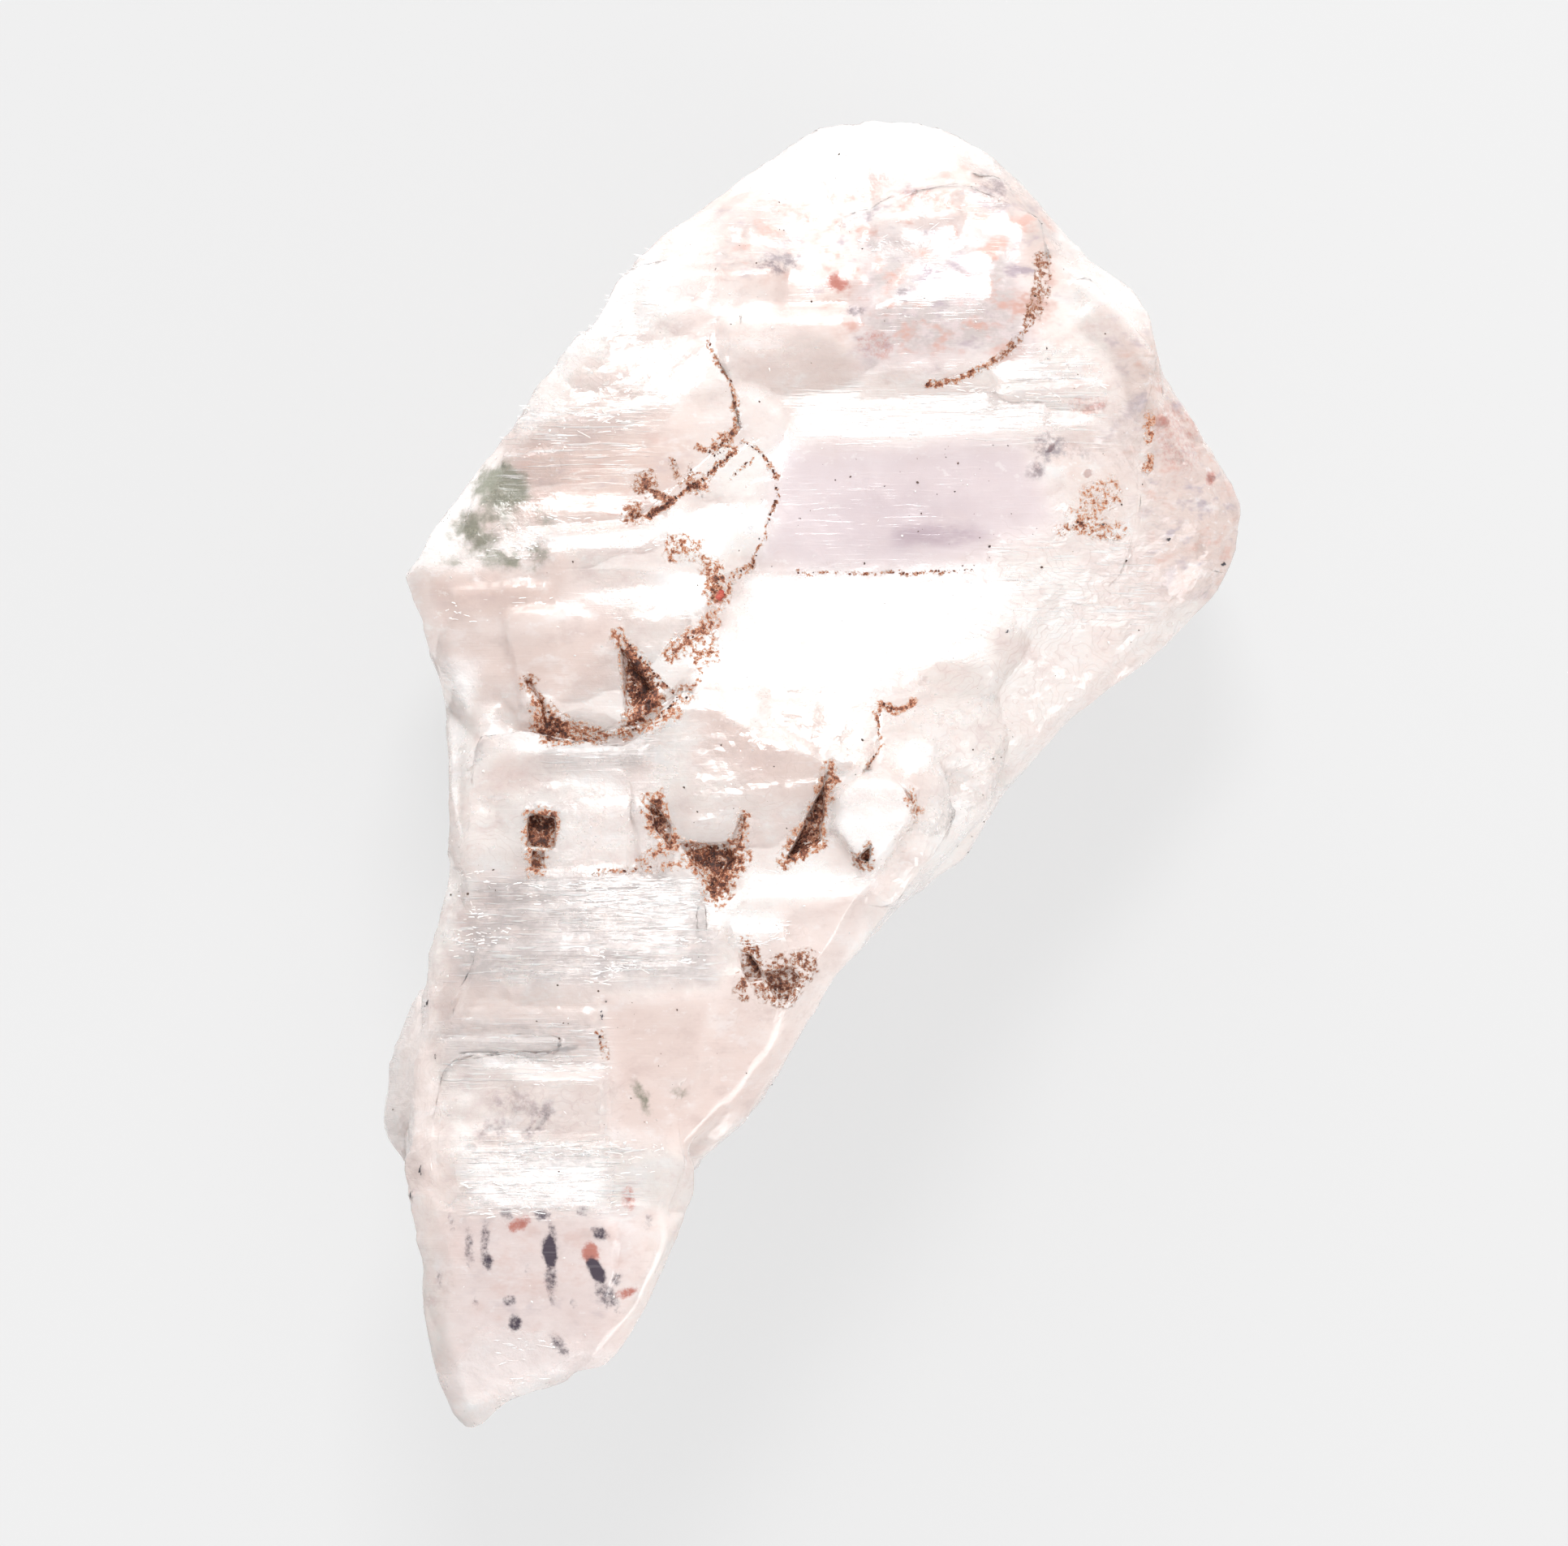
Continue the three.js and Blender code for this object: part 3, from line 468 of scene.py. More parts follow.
def quartz_material():
    n = Nodes("quartz")
    times = n.times
    wide = (1.5, 1, 1.5)
    frost_and_highlight, calm, striate, stain = (n.attribute(name) for name in ("frost_and_highlight", "calm", "striate", "stain"))
    etched, lilac, blush = (n.attribute(name) for name in ("etched", "lilac", "blush"))
    clouds = n.noise(0.9, detail=4.0, stretch=(1.7, 1, 1.7), rough=0.7)
    fine = n.noise(0.28, stretch=wide, rough=0.7)
    uneven = n.noise(0.3, detail=4.0, rough=0.7)
    grain = n.noise(0.15, detail=4.0, rough=0.75)
    flush = n.noise(0.6, stretch=(1.6, 1, 1.6), rough=0.65)
    contour = n.math("FRACT", times(n.noise(1.5, stretch=wide, rough=0.45), CONTOURS))
    lively = n.less(1.0, times(lilac, 0.7))
    restless = n.less(1.0, calm)

    def uneven_edge(share, pattern, amount):
        """A drawn field with noise added to it."""
        return n.plus(share, times(n.less(pattern, 0.5), amount))

    def blotted(share):
        """A drawn spot whose edge is uneven."""
        return times(n.ramp(uneven_edge(share, grain, 1.3), 0.2, 0.9), n.ramp(share, 0.04, 0.35))

    dusk = n.attribute("dusk")
    broken = times(n.ramp(n.plus(uneven, times(dusk, 0.35)), 0.52, 0.80), n.ramp(dusk, 0.02, 0.5))
    rods = blotted(n.attribute("rod"))
    # Short white dashes along the striations: painted glints, also used as fine relief.
    glint_dash = n.ramp(n.noise(0.08, detail=2.0, stretch=(14, 1, 14)), 0.56, 0.66)
    glint_dash = times(glint_dash, n.plus(striate, 0.05))
    shade = n.ramp(n.noise(0.13, stretch=(12, 1, 12)), 0.44, 0.32)
    iron = uneven_edge(times(stain, 0.40), grain, 2.3)
    cover = times(n.ramp(iron, 0.08, 0.2), n.ramp(stain, 0.03, 0.14))
    bare = n.less(1.0, cover)
    grit = times(n.ramp(fine, 0.54, 0.38), frost_and_highlight, striate, bare)
    body = n.mix(n.ramp(n.noise(2.6, rough=0.6), 0.35, 0.65), MILKY, ROSE)
    # What lies over the milky body, one on top of the other: how much of it, and its colour.
    for share, colour in [
        (n.attribute("clear"), CLEAR),
        (n.attribute("rosy"), ROSY),
        (lilac, LILAC),
        (times(n.ramp(clouds, 0.50, 0.74), 0.65, lively), CHALK_AND_HIGHLIGHT),
        (times(n.ramp(clouds, 0.50, 0.26), 0.6, lively), DUSTY),
        (times(n.ramp(fine, 0.44, 0.28), 0.3, lively), DUSTY),
        (times(n.ramp(fine, 0.6, 0.7), 0.5), CHALK_AND_HIGHLIGHT),
        # Painted highlight on the ledges that face the lights, with etched white where drawn.
        (times(frost_and_highlight, 0.6), CHALK_AND_HIGHLIGHT),
        (times(n.attribute("ashen"), n.ramp(fine, 0.3, 0.6)), ASHEN),
        (times(blush, n.ramp(flush, 0.5, 0.7)), BLUSH_RED),
        (times(blush, n.ramp(flush, 0.46, 0.28)), BLUSH_GREY),
        (times(n.ramp(uneven_edge(n.attribute("green"), uneven, 1.3), 0.15, 1.0), 0.95), GREEN_GREY),
        (blotted(n.attribute("red")), RED_TINT),
        (times(n.attribute("violet"), n.ramp(clouds, 0.1, 0.5)), VIOLET),
        (broken, DUSK),
        (rods, ROD),
        (times(n.ramp(contour, 0.22, 0.0), etched, 0.6), DUSTY),
        # Painted glints along the striations.
        (glint_dash, CHALK_AND_HIGHLIGHT),
        (times(shade, n.plus(striate, 0.03), 0.5), ASHEN),
        (cover, n.colours(iron, IRON)),
        (grit, GRIT),
    ]:
        body = n.mix(share, body, colour)
    n.set("Base Color", n.vector("MULTIPLY", body, n.mix(calm, WHITE, QUIET)))
    n.set("IOR", QUARTZ_IOR)
    seen = n.less(1.0, n.math("MAXIMUM", cover, rods))
    clear = times(seen, n.less(1.0, times(calm, 0.95)), n.less(1.0, times(frost_and_highlight, 0.35)))
    n.set("Transmission Weight", times(clear, 0.6))
    n.set("Subsurface Weight", 0.5)
    n.set("Subsurface Radius", (1.0, 0.85, 0.8))
    n.set("Subsurface Scale", 0.001)
    rough = n.plus(times(frost_and_highlight, 0.22), times(cover, 0.4))
    rough = n.plus(rough, times(n.ramp(clouds, 0.4, 0.6), 0.2, restless))
    rough = n.plus(rough, times(calm, 0.12))
    n.set("Roughness", n.math("ADD", rough, 0.07, clamp=True))
    lines = n.noise(0.09, stretch=(30, 1, 30), rough=0.6)
    rubbed = n.less(n.plus(times(frost_and_highlight, 0.8), 0.3), times(calm, 0.25))
    # Small relief, one on top of the other: its height from 0 to 1, and how far that is in millimetres.
    normal = None
    for height, distance in [
        (times(lines, n.plus(striate, 0.08)), 0.03),
        (glint_dash, 0.03),
        (times(n.noise(0.14, rough=0.6), rubbed), 0.03),
        (times(n.cells(0.42).outputs["Color"], n.attribute("chipped")), 0.05),
        (times(contour, etched), 0.025),
        (times(cover, grain), 0.06),
    ]:
        normal = n.bump(height, distance, normal)
    n.set("Normal", normal)
    return n.material


def px(column, row):
    """A pixel of the photograph in the drawing's millimetres."""
    return ((column - START_COLUMN) / PIXELS, (START_ROW - row) / PIXELS)


def shape(*numbers):
    """A line or outline through pixels of the photograph, given as x, y, x, y and so on."""
    return [px(x, y) for x, y in zip(numbers[::2], numbers[1::2])]


def box(left, top, right, bottom):
    """The pixels of an upright rectangle's corners."""
    return left, top, right, top, right, bottom, left, bottom


def drawn(rows, lead=1):
    """Rows of a table, each `lead` values and then pixels, as the line or outline drawn and those values."""
    return [(shape(*row[lead:]), *row[:lead]) for row in rows]


def warped(points, size, amount, seed):
    """The plane coordinates of points, pushed about by noise, so that drawn areas get natural edges."""
    flat = points[:, :2].copy()
    flat[:, 0] += amount * layered(points, size, seed, 3)
    flat[:, 1] += amount * layered(points, size, seed + 50, 3)
    return flat


def patch(flat, spots):
    """The strongest of several soft round areas: centre x, y, radius x, y, turn in degrees, strength."""
    total = np.zeros(len(flat))
    for column, row, rx, ry, turn, strength in spots:
        angle = math.radians(turn)
        x, y = px(column, row)
        dx, dy = flat[:, 0] - x, flat[:, 1] - y
        u = (dx * math.cos(angle) + dy * math.sin(angle)) / rx
        v = (-dx * math.sin(angle) + dy * math.cos(angle)) / ry
        total = np.maximum(total, strength * (1 - ramp(np.hypot(u, v), 0.35, 1.15)))
    return total


# The crystal's outline, coarsely, from its left corner over the top and down to the tip.
OUTLINE = shape(
    500, 712, 560, 620, 662, 478, 769, 332, 905, 225, 1000, 155, 1144, 148, 1265, 228, 1344, 320, 1418, 390,
    1431, 450, 1534, 643, 1510, 735, 1371, 848, 1220, 1012, 1106, 1122, 958, 1326, 862, 1427, 768, 1651, 580,
    1754, 532, 1644, 507, 1472, 474, 1394, 514, 1215, 556, 1073, 552, 899,
)

# Iron stain: each area's strength at its middle and its outline.
STAIN_AREAS = drawn([
    (1.2, 763, 780, 775, 798, 800, 826, 814, 848, 812, 876, 796, 888, 770, 894, 784, 868, 776, 846, 770,
     815), (0.8, 662, 866, 672, 860, 684, 884, 712, 896, 745, 903, 742, 912, 700, 916, 672, 918, 664, 896),
    (1.25, 668, 886, 684, 890, 702, 900, 700, 912, 674, 914, 666, 900),
    (0.9, 649, 834, 658, 838, 658, 848, 650, 846), (0.95, 788, 590, 804, 587, 809, 600, 796, 611, 786, 603),
    (0.9, 775, 631, 788, 629, 789, 643, 775, 645), (1.1, 847, 593, 862, 590, 867, 601, 851, 606),
    (0.9, 880, 540, 900, 536, 902, 550, 882, 556),
    (0.6, 764, 902, 806, 886, 830, 872, 838, 878, 806, 898, 770, 908),
    (0.8, 871, 696, 890, 700, 893, 745, 880, 745, 868, 715), (0.55, 825, 668, 862, 676, 858, 692, 826, 693),
    (0.75, 820, 806, 850, 780, 880, 760, 884, 768, 860, 795, 826, 810),
    (0.5, 856, 800, 880, 800, 880, 818, 858, 820), (0.45, 837, 850, 854, 850, 850, 866, 838, 866),
    (1.1, 652, 1001, 690, 1004, 688, 1030, 676, 1048, 652, 1046),
    (1.0, 655, 1048, 672, 1050, 668, 1072, 656, 1070),
    (1.0, 797, 982, 815, 976, 822, 1008, 838, 1042, 826, 1048, 802, 1016),
    (0.8, 790, 1060, 812, 1042, 826, 1044, 800, 1058),
    (1.05, 846, 1040, 900, 1046, 918, 1056, 905, 1084, 888, 1112, 878, 1108, 868, 1078, 848, 1060),
    (0.95, 914, 1004, 920, 1006, 918, 1050, 902, 1052, 900, 1036, 912, 1028),
    (1.0, 1020, 938, 1028, 960, 1014, 1020, 1018, 1040, 986, 1056, 962, 1068, 964, 1058, 985, 1026, 1004,
     975), (1.5, 1052, 1060, 1070, 1042, 1072, 1064),
    (1.0, 916, 1158, 924, 1162, 938, 1198, 930, 1206, 918, 1186),
    (0.6, 908, 1200, 924, 1206, 920, 1226, 910, 1220), (1.05, 948, 1204, 972, 1208, 968, 1232, 954, 1226),
    (0.5, 960, 1180, 1000, 1172, 1002, 1196, 972, 1238, 940, 1225, 930, 1204),
    (0.7, 1121, 975, 1132, 1000, 1128, 1006, 1117, 985),
    (0.4, 1300, 655, 1336, 636, 1390, 648, 1376, 658, 1330, 660),
    (0.22, 1312, 640, 1336, 600, 1372, 586, 1380, 606, 1350, 640),
])

# Iron stain along sutures and cracks: half width, strength and line.
STAIN_LINES = drawn([
    (0.07, 0.75, 875, 424, 884, 448, 900, 474, 906, 500, 908, 530),
    (0.1, 0.85, 906, 532, 892, 546, 872, 558, 862, 554),
    (0.08, 1.15, 908, 557, 885, 574, 872, 588, 856, 598, 842, 611, 828, 618),
    (0.09, 1.15, 828, 618, 814, 611, 800, 602, 792, 597), (0.1, 1.5, 828, 618, 812, 628, 798, 640),
    (0.08, 0.5, 850, 590, 852, 578), (0.08, 0.5, 834, 588, 832, 570), (0.06, 0.7, 926, 568, 902, 588),
    (0.05, 0.5, 900, 550, 880, 564),
    (0.045, 0.75, 917, 545, 940, 562, 956, 587, 958, 612, 946, 650, 938, 672, 926, 700),
    (0.1, 0.7, 925, 700, 905, 712, 893, 740, 880, 762, 850, 790, 826, 812),
    (0.08, 0.6, 880, 790, 868, 812, 860, 840, 846, 862),
    (0.045, 0.75, 764, 782, 790, 812, 818, 842, 838, 862, 800, 894, 760, 906, 700, 918),
    (0.04, 0.45, 983, 707, 1060, 709, 1130, 707, 1203, 703),
    (0.09, 0.9, 1126, 863, 1106, 878, 1094, 872, 1085, 869),
    (0.045, 0.65, 1085, 869, 1081, 890, 1083, 920, 1066, 953),
    (0.08, 0.4, 735, 1078, 800, 1070, 846, 1066, 880, 1062), (0.1, 0.7, 1306, 655, 1340, 640, 1377, 618),
    (0.1, 0.45, 742, 1270, 748, 1300),
], 2)
# Stain that lies deeper, blurred and without crumbs.
SOFT_LINES = drawn([
    (0.09, 1.0, 1144, 474, 1180, 468, 1196, 460), (0.1, 0.75, 1196, 460, 1222, 449, 1257, 417, 1270, 390),
    (0.24, 0.6, 1270, 390, 1286, 350, 1284, 320), (0.14, 0.6, 1418, 512, 1414, 540),
    (0.12, 0.6, 1416, 562, 1412, 580),
], 2)

RED_SPOTS = [
    (1033, 348, 0.45, 0.35, -20, 0.9), (1080, 425, 0.8, 0.6, 0, 0.45), (1450, 540, 1.0, 1.6, 15, 0.42),
    (1340, 500, 0.9, 0.45, 0, 0.4), (1130, 240, 0.8, 0.35, 0, 0.45), (770, 628, 1.2, 0.3, 5, 0.4),
    (643, 1503, 0.5, 0.24, 25, 0.8), (730, 1538, 0.3, 0.42, 15, 1.05), (774, 1587, 0.48, 0.22, 20, 0.7),
    (1192, 340, 0.7, 0.4, 30, 0.4), (885, 737, 0.24, 0.34, 0, 0.9), (776, 1472, 0.28, 0.55, 0, 0.55),
    (1290, 345, 0.3, 0.9, -10, 0.35), (1492, 590, 0.2, 0.3, 0, 0.7),
]
ROD_SPOTS = [
    (681, 1536, 0.26, 0.62, 4, 1.15), (683, 1566, 0.24, 0.75, 0, 0.62), (684, 1592, 0.2, 0.4, 0, 0.4),
    (737, 1559, 0.55, 0.28, -60, 1.15), (750, 1590, 0.6, 0.36, -50, 0.6), (764, 1608, 0.3, 0.24, 0, 0.36),
    (602, 1518, 0.2, 0.8, -3, 0.55), (604, 1548, 0.24, 0.34, 0, 0.8), (583, 1532, 0.2, 0.8, 3, 0.52),
    (742, 1514, 0.36, 0.26, -30, 0.75), (628, 1489, 0.34, 0.24, -40, 0.6), (722, 1488, 0.3, 0.24, -30, 0.5),
    (672, 1491, 0.38, 0.2, 0, 0.7), (684, 1508, 0.16, 0.5, 15, 0.55), (638, 1624, 0.26, 0.32, 0, 0.85),
    (632, 1596, 0.28, 0.22, 0, 0.6), (693, 1652, 0.26, 0.55, 35, 0.58), (763, 1570, 0.22, 0.34, 0, 0.5),
    (590, 1600, 0.18, 0.3, 0, 0.4), (545, 1570, 0.18, 0.45, 0, 0.45), (560, 1500, 0.16, 0.45, 10, 0.4),
    (655, 1560, 0.16, 0.45, 0, 0.35), (710, 1600, 0.2, 0.3, 20, 0.35), (800, 1500, 0.24, 0.4, 0, 0.35),
]
VIOLET_SPOTS = [
    (1160, 662, 1.7, 0.42, 2, 0.75), (1195, 332, 0.6, 0.4, 30, 0.4), (1110, 645, 2.8, 1.1, 0, 0.2),
]
DUSK_SPOTS = [
    (1294, 552, 0.7, 0.6, 0, 0.5), (1277, 580, 0.5, 0.4, 0, 0.42), (1330, 560, 0.5, 0.4, 0, 0.3),
    (960, 325, 1.1, 0.5, 10, 0.5), (1056, 385, 0.3, 0.25, 0, 0.6), (1110, 365, 0.4, 0.3, 0, 0.5),
    (668, 1376, 0.9, 0.35, 50, 0.42), (610, 1390, 0.8, 0.4, 20, 0.36), (640, 1356, 1.1, 0.5, 0, 0.3),
    (1225, 235, 0.9, 0.6, -40, 0.4),
]
# Mottled red and violet grey.
BLUSH_AREAS = drawn([
    (1.0, 890, 240, 1000, 250, 1180, 205, 1290, 260, 1310, 400, 1240, 450, 1060, 440, 990, 340, 890, 345),
    (1.0, 1360, 400, 1440, 420, 1560, 640, 1530, 780, 1420, 690, 1395, 520),
    (0.6, 1250, 410, 1400, 400, 1390, 560, 1300, 570, 1320, 480),
    (0.4, 640, 560, 860, 520, 800, 640, 640, 650), (0.3, 570, 1490, 820, 1480, 760, 1640, 580, 1640),
])
# Pinker and a little darker quartz.
ROSY_AREAS = drawn([
    (1.0, 620, 545, 880, 520, 860, 600, 790, 650, 600, 650),
    (0.6, 860, 235, 930, 228, 1000, 262, 980, 340, 860, 330, 820, 300),
    (0.7, 1180, 180, 1290, 220, 1345, 330, 1250, 330, 1190, 250),
    (0.7, 865, 820, 940, 850, 1060, 880, 1120, 960, 1000, 990, 860, 940),
    (1.0, 520, 700, 700, 690, 690, 740, 540, 780, 500, 740),
    (0.4, 700, 560, 760, 470, 870, 440, 900, 520, 820, 580),
    (0.5, 1060, 320, 1240, 300, 1260, 440, 1080, 450, 1000, 400),
    (0.45, 910, 420, 1180, 420, 1180, 486, 960, 500, 905, 530),
    (0.1, 860, 860, 1040, 860, 1040, 930, 960, 1060, 720, 1060, 700, 960),
    (0.6, 560, 780, 760, 770, 780, 850, 690, 860, 570, 840),
    (0.5, 556, 1212, 744, 1215, 744, 1256, 556, 1256),
    (0.3, 744, 1225, 887, 1225, 960, 1200, 860, 1420, 760, 1360),
    (0.7, 1310, 570, 1400, 560, 1400, 650, 1310, 650),
    (0.9, 1380, 410, 1440, 420, 1560, 640, 1530, 780, 1440, 700, 1400, 520),
    (0.35, 1000, 500, 1160, 498, 1160, 535, 1000, 540),
])
# Rough places, broken into small facets.
CHIPPED_AREAS = drawn([
    (0.8, 1380, 400, 1440, 420, 1560, 640, 1530, 780, 1440, 760, 1300, 900, 1200, 1010, 1100, 1120, 1060,
     1100, 1180, 900, 1400, 660, 1400, 520),
    (0.5, 640, 470, 780, 320, 900, 330, 780, 480, 700, 590, 600, 600),
    (0.5, 520, 640, 700, 640, 700, 700, 500, 720), (0.9, 1290, 570, 1400, 560, 1400, 670, 1290, 670),
    (0.6, 1240, 420, 1360, 420, 1360, 530, 1200, 530), (0.6, 860, 900, 960, 900, 940, 1060, 840, 1050),
    (0.9, 900, 1110, 1010, 1120, 1010, 1260, 890, 1250), (0.8, 540, 1060, 610, 1060, 600, 1110, 550, 1130),
    (0.6, 470, 1200, 560, 1200, 560, 1500, 490, 1480), (0.7, 600, 1330, 760, 1330, 760, 1410, 590, 1410),
    (0.5, 600, 1650, 700, 1640, 640, 1720, 560, 1740), (0.3, *box(560, 940, 660, 1060)),
    (0.25, 900, 700, 1430, 660, 1400, 760, 1100, 880, 900, 830),
])
GREEN_SPOTS = [
    (618, 604, 1.2, 0.9, -15, 1.1), (585, 660, 1.0, 0.8, 0, 1.0), (640, 640, 1.6, 0.6, 0, 0.7),
    (640, 690, 1.4, 0.45, 0, 0.9), (590, 590, 0.7, 0.5, 0, 0.8), (560, 690, 0.8, 0.3, 0, 0.6),
    (790, 1352, 0.22, 0.8, 28, 0.8), (845, 1346, 0.4, 0.2, 0, 0.5),
]
CLEAR_AREAS = drawn([
    (0.9, 988, 548, 1264, 545, 1300, 644, 1236, 672, 1214, 700, 995, 707, 938, 686, 956, 600),
    (0.6, 900, 410, 1180, 410, 1180, 490, 985, 500, 910, 530),
    (0.5, 520, 720, 640, 700, 840, 700, 840, 820, 560, 810), (0.35, 640, 560, 840, 560, 800, 640, 660, 650),
    (0.55, 600, 1080, 861, 1077, 880, 1210, 577, 1203),
    (0.6, 556, 1215, 744, 1220, 887, 1230, 860, 1400, 640, 1400, 560, 1400),
    (0.75, 476, 1212, 530, 1212, 540, 1440, 490, 1430), (0.25, 540, 1490, 800, 1490, 760, 1640, 560, 1640),
    (0.5, 950, 1115, 1100, 1110, 1000, 1230, 960, 1160),
])
ASHEN_AREAS = drawn([
    (1.0, 600, 1080, 868, 1072, 885, 1160, 870, 1208, 560, 1208),
    (0.6, 548, 1256, 745, 1256, 748, 1306, 560, 1300), (0.9, 1070, 290, 1240, 290, 1260, 430, 1070, 440),
    (0.8, 678, 922, 800, 916, 796, 944, 680, 944), (1.0, 549, 1257, 742, 1259, 745, 1277, 552, 1275),
    (0.4, 560, 660, 690, 660, 676, 720, 540, 716), (0.7, 870, 250, 960, 240, 990, 330, 880, 340),
    (0.6, 1180, 170, 1290, 220, 1330, 320, 1240, 300), (0.7, 1110, 300, 1230, 310, 1240, 410, 1120, 420),
    (0.55, 1000, 495, 1290, 480, 1290, 522, 1000, 532),
])
# Smooth faces that have hardly any growth ledges.
CALM_AREAS = drawn([
    (0.8, 985, 545, 1270, 545, 1300, 644, 1236, 672, 1214, 705, 940, 705, 956, 600),
    (1.0, 744, 1225, 887, 1225, 860, 1400, 760, 1390),
    (0.5, 800, 300, 890, 235, 1000, 290, 1010, 420, 840, 430),
    (0.7, 540, 1490, 830, 1490, 760, 1660, 560, 1720),
    (0.6, 700, 560, 860, 500, 860, 580, 780, 640, 690, 640),
    (0.6, 476, 1212, 530, 1212, 545, 1480, 490, 1430),
    (0.85, 880, 230, 1180, 200, 1300, 250, 1320, 400, 1240, 440, 1060, 440, 870, 340),
    (0.85, 960, 1120, 1090, 1085, 975, 1310, 862, 1427, 830, 1400, 887, 1225),
    (0.6, 520, 700, 700, 690, 760, 780, 690, 860, 570, 830),
    (0.3, 600, 1330, 745, 1330, 745, 1400, 590, 1400),
])
LILAC_AREAS = drawn([
    (1.0, 960, 548, 1264, 545, 1300, 644, 1236, 672, 1214, 700, 995, 707, 938, 686, 950, 600),
    (0.8, 1060, 290, 1250, 290, 1270, 440, 1060, 450), (0.3, 560, 1490, 800, 1490, 740, 1700, 560, 1700),
])
# Etched white quartz, and painted highlights and glints where faces catch the light.
FROST_AND_HIGHLIGHT_AREAS = drawn([
    (1.0, 540, 812, 598, 815, 580, 874, 560, 862), (1.0, 836, 641, 946, 629, 942, 652, 838, 660),
    (0.9, 900, 1128, 968, 1132, 960, 1160, 905, 1152), (0.1, 985, 530, 1360, 488, 1356, 527, 988, 545),
    (0.8, 590, 1640, 680, 1632, 640, 1700, 570, 1745, 545, 1690),
    (0.8, 921, 1072, 1084, 1072, 1068, 1104, 929, 1104), (0.7, 579, 1407, 748, 1410, 748, 1486, 579, 1486),
    (0.8, 1030, 966, 1117, 960, 1129, 991, 1087, 1061, 1016, 1021),
    (0.9, 950, 254, 1170, 246, 1170, 268, 950, 274), (0.8, 1075, 299, 1145, 297, 1145, 312, 1075, 314),
    (0.8, 910, 712, 1229, 692, 1240, 760, 1060, 810, 930, 780),
])
# Painted highlight that fades out softly, where faces turn to the lights.
SOFT_HIGHLIGHT_AREAS = drawn([
    (0.6, 930, 722, 1229, 706, 1250, 760, 1090, 815, 940, 780),
    (0.7, 930, 215, 1100, 145, 1160, 150, 1120, 230, 1000, 245),
    (0.9, 598, 1634, 672, 1634, 664, 1684, 606, 1684),
    (0.8, 560, 1680, 700, 1650, 760, 1662, 640, 1716, 580, 1744), (0.5, *box(690, 945, 800, 1065)),
    (0.4, 1140, 890, 1215, 880, 1215, 1010, 1140, 1000),
])
# Etched faces with fine contour lines.
ETCHED_AREAS = drawn([
    (1.0, 1229, 662, 1430, 655, 1450, 760, 1400, 800, 1200, 840, 1060, 870, 1130, 740),
    (0.7, 1380, 420, 1440, 420, 1560, 640, 1530, 780, 1400, 880, 1300, 900, 1380, 700),
    (0.8, 1180, 820, 1400, 780, 1300, 920, 1190, 1010, 1120, 960),
    (0.6, 860, 900, 1010, 880, 990, 1000, 850, 1050), (0.4, 560, 940, 800, 950, 800, 1060, 560, 1060),
    (0.5, 470, 1200, 560, 1200, 560, 1500, 490, 1480), (0.7, 600, 1330, 760, 1330, 760, 1410, 590, 1410),
    (0.4, 690, 330, 900, 330, 860, 480, 640, 560),
])
STRIATED_AREAS = drawn([
    (1.0, 577, 1085, 861, 1077, 885, 1203, 553, 1203), (0.7, 1229, 665, 1427, 658, 1427, 771, 1240, 771),
    (1.0, *box(1250, 430, 1345, 480)), (1.0, *box(579, 1400, 790, 1490)), (0.8, *box(549, 1259, 748, 1333)),
    (0.7, 640, 500, 800, 500, 800, 590, 620, 590), (0.8, *box(675, 905, 800, 950)),
    (0.6, *box(980, 480, 1360, 545)),
])


# Bright growth ledges: width, how far they fall off, height, and the ends of their upper edge.
STRIPS = drawn([
    (0.16, 1.0, 0.14, 1080, 236, 1180, 228), (0.16, 1.0, 0.14, 1076, 262, 1182, 254),
    (0.2, 0.8, 0.2, 1225, 478, 1360, 468), (0.34, 1.2, 0.3, 836, 640, 945, 630),
    (0.26, 1.4, 0.24, 669, 660, 825, 648), (0.22, 1.6, 0.2, 627, 752, 692, 748),
    (0.2, 0.8, 0.16, 640, 516, 760, 508), (0.24, 0.7, 0.16, 622, 560, 690, 552),
    (0.2, 1.0, 0.15, 690, 415, 745, 410), (0.46, 1.4, 0.36, 637, 1310, 748, 1310),
    (0.12, 0.7, 0.12, 549, 1276, 700, 1277), (0.1, 0.3, 0.07, 750, 1170, 861, 1168),
    (0.1, 0.3, 0.07, 770, 1185, 861, 1184), (0.1, 0.3, 0.07, 740, 1200, 850, 1199),
    (0.1, 0.3, 0.07, 560, 1165, 640, 1163), (0.4, 0.7, 0.22, 900, 1128, 968, 1132),
    (0.14, 0.6, 0.12, 680, 922, 800, 916), (0.2, 1.6, 0.15, 560, 722, 680, 716),
    (0.6, 1.6, 0.4, 890, 378, 1050, 376), (0.5, 1.6, 0.3, 790, 330, 960, 318),
    (0.14, 0.8, 0.1, 860, 850, 940, 846), (0.16, 0.8, 0.1, 720, 985, 800, 985),
    (0.2, 0.9, 0.12, 1080, 905, 1150, 900), (0.2, 0.9, 0.12, 1140, 1000, 1190, 985),
    (0.2, 0.6, 0.12, 640, 880, 668, 878), (0.1, 0.8, 0.08, 570, 1240, 740, 1240),
], 3)


def areas(flat, named, soft):
    """The strongest of several outlined areas, fading over `soft` millimetres at their edges."""
    total = np.zeros(len(flat))
    for outline, strength in named:
        total = np.maximum(total, strength * ramp(depth_inside(flat, outline), -soft, soft))
    return total


def front_share(normals):
    return ramp(normals[:, 2], -0.05, 0.35)


LINE_HAZE = 0.85


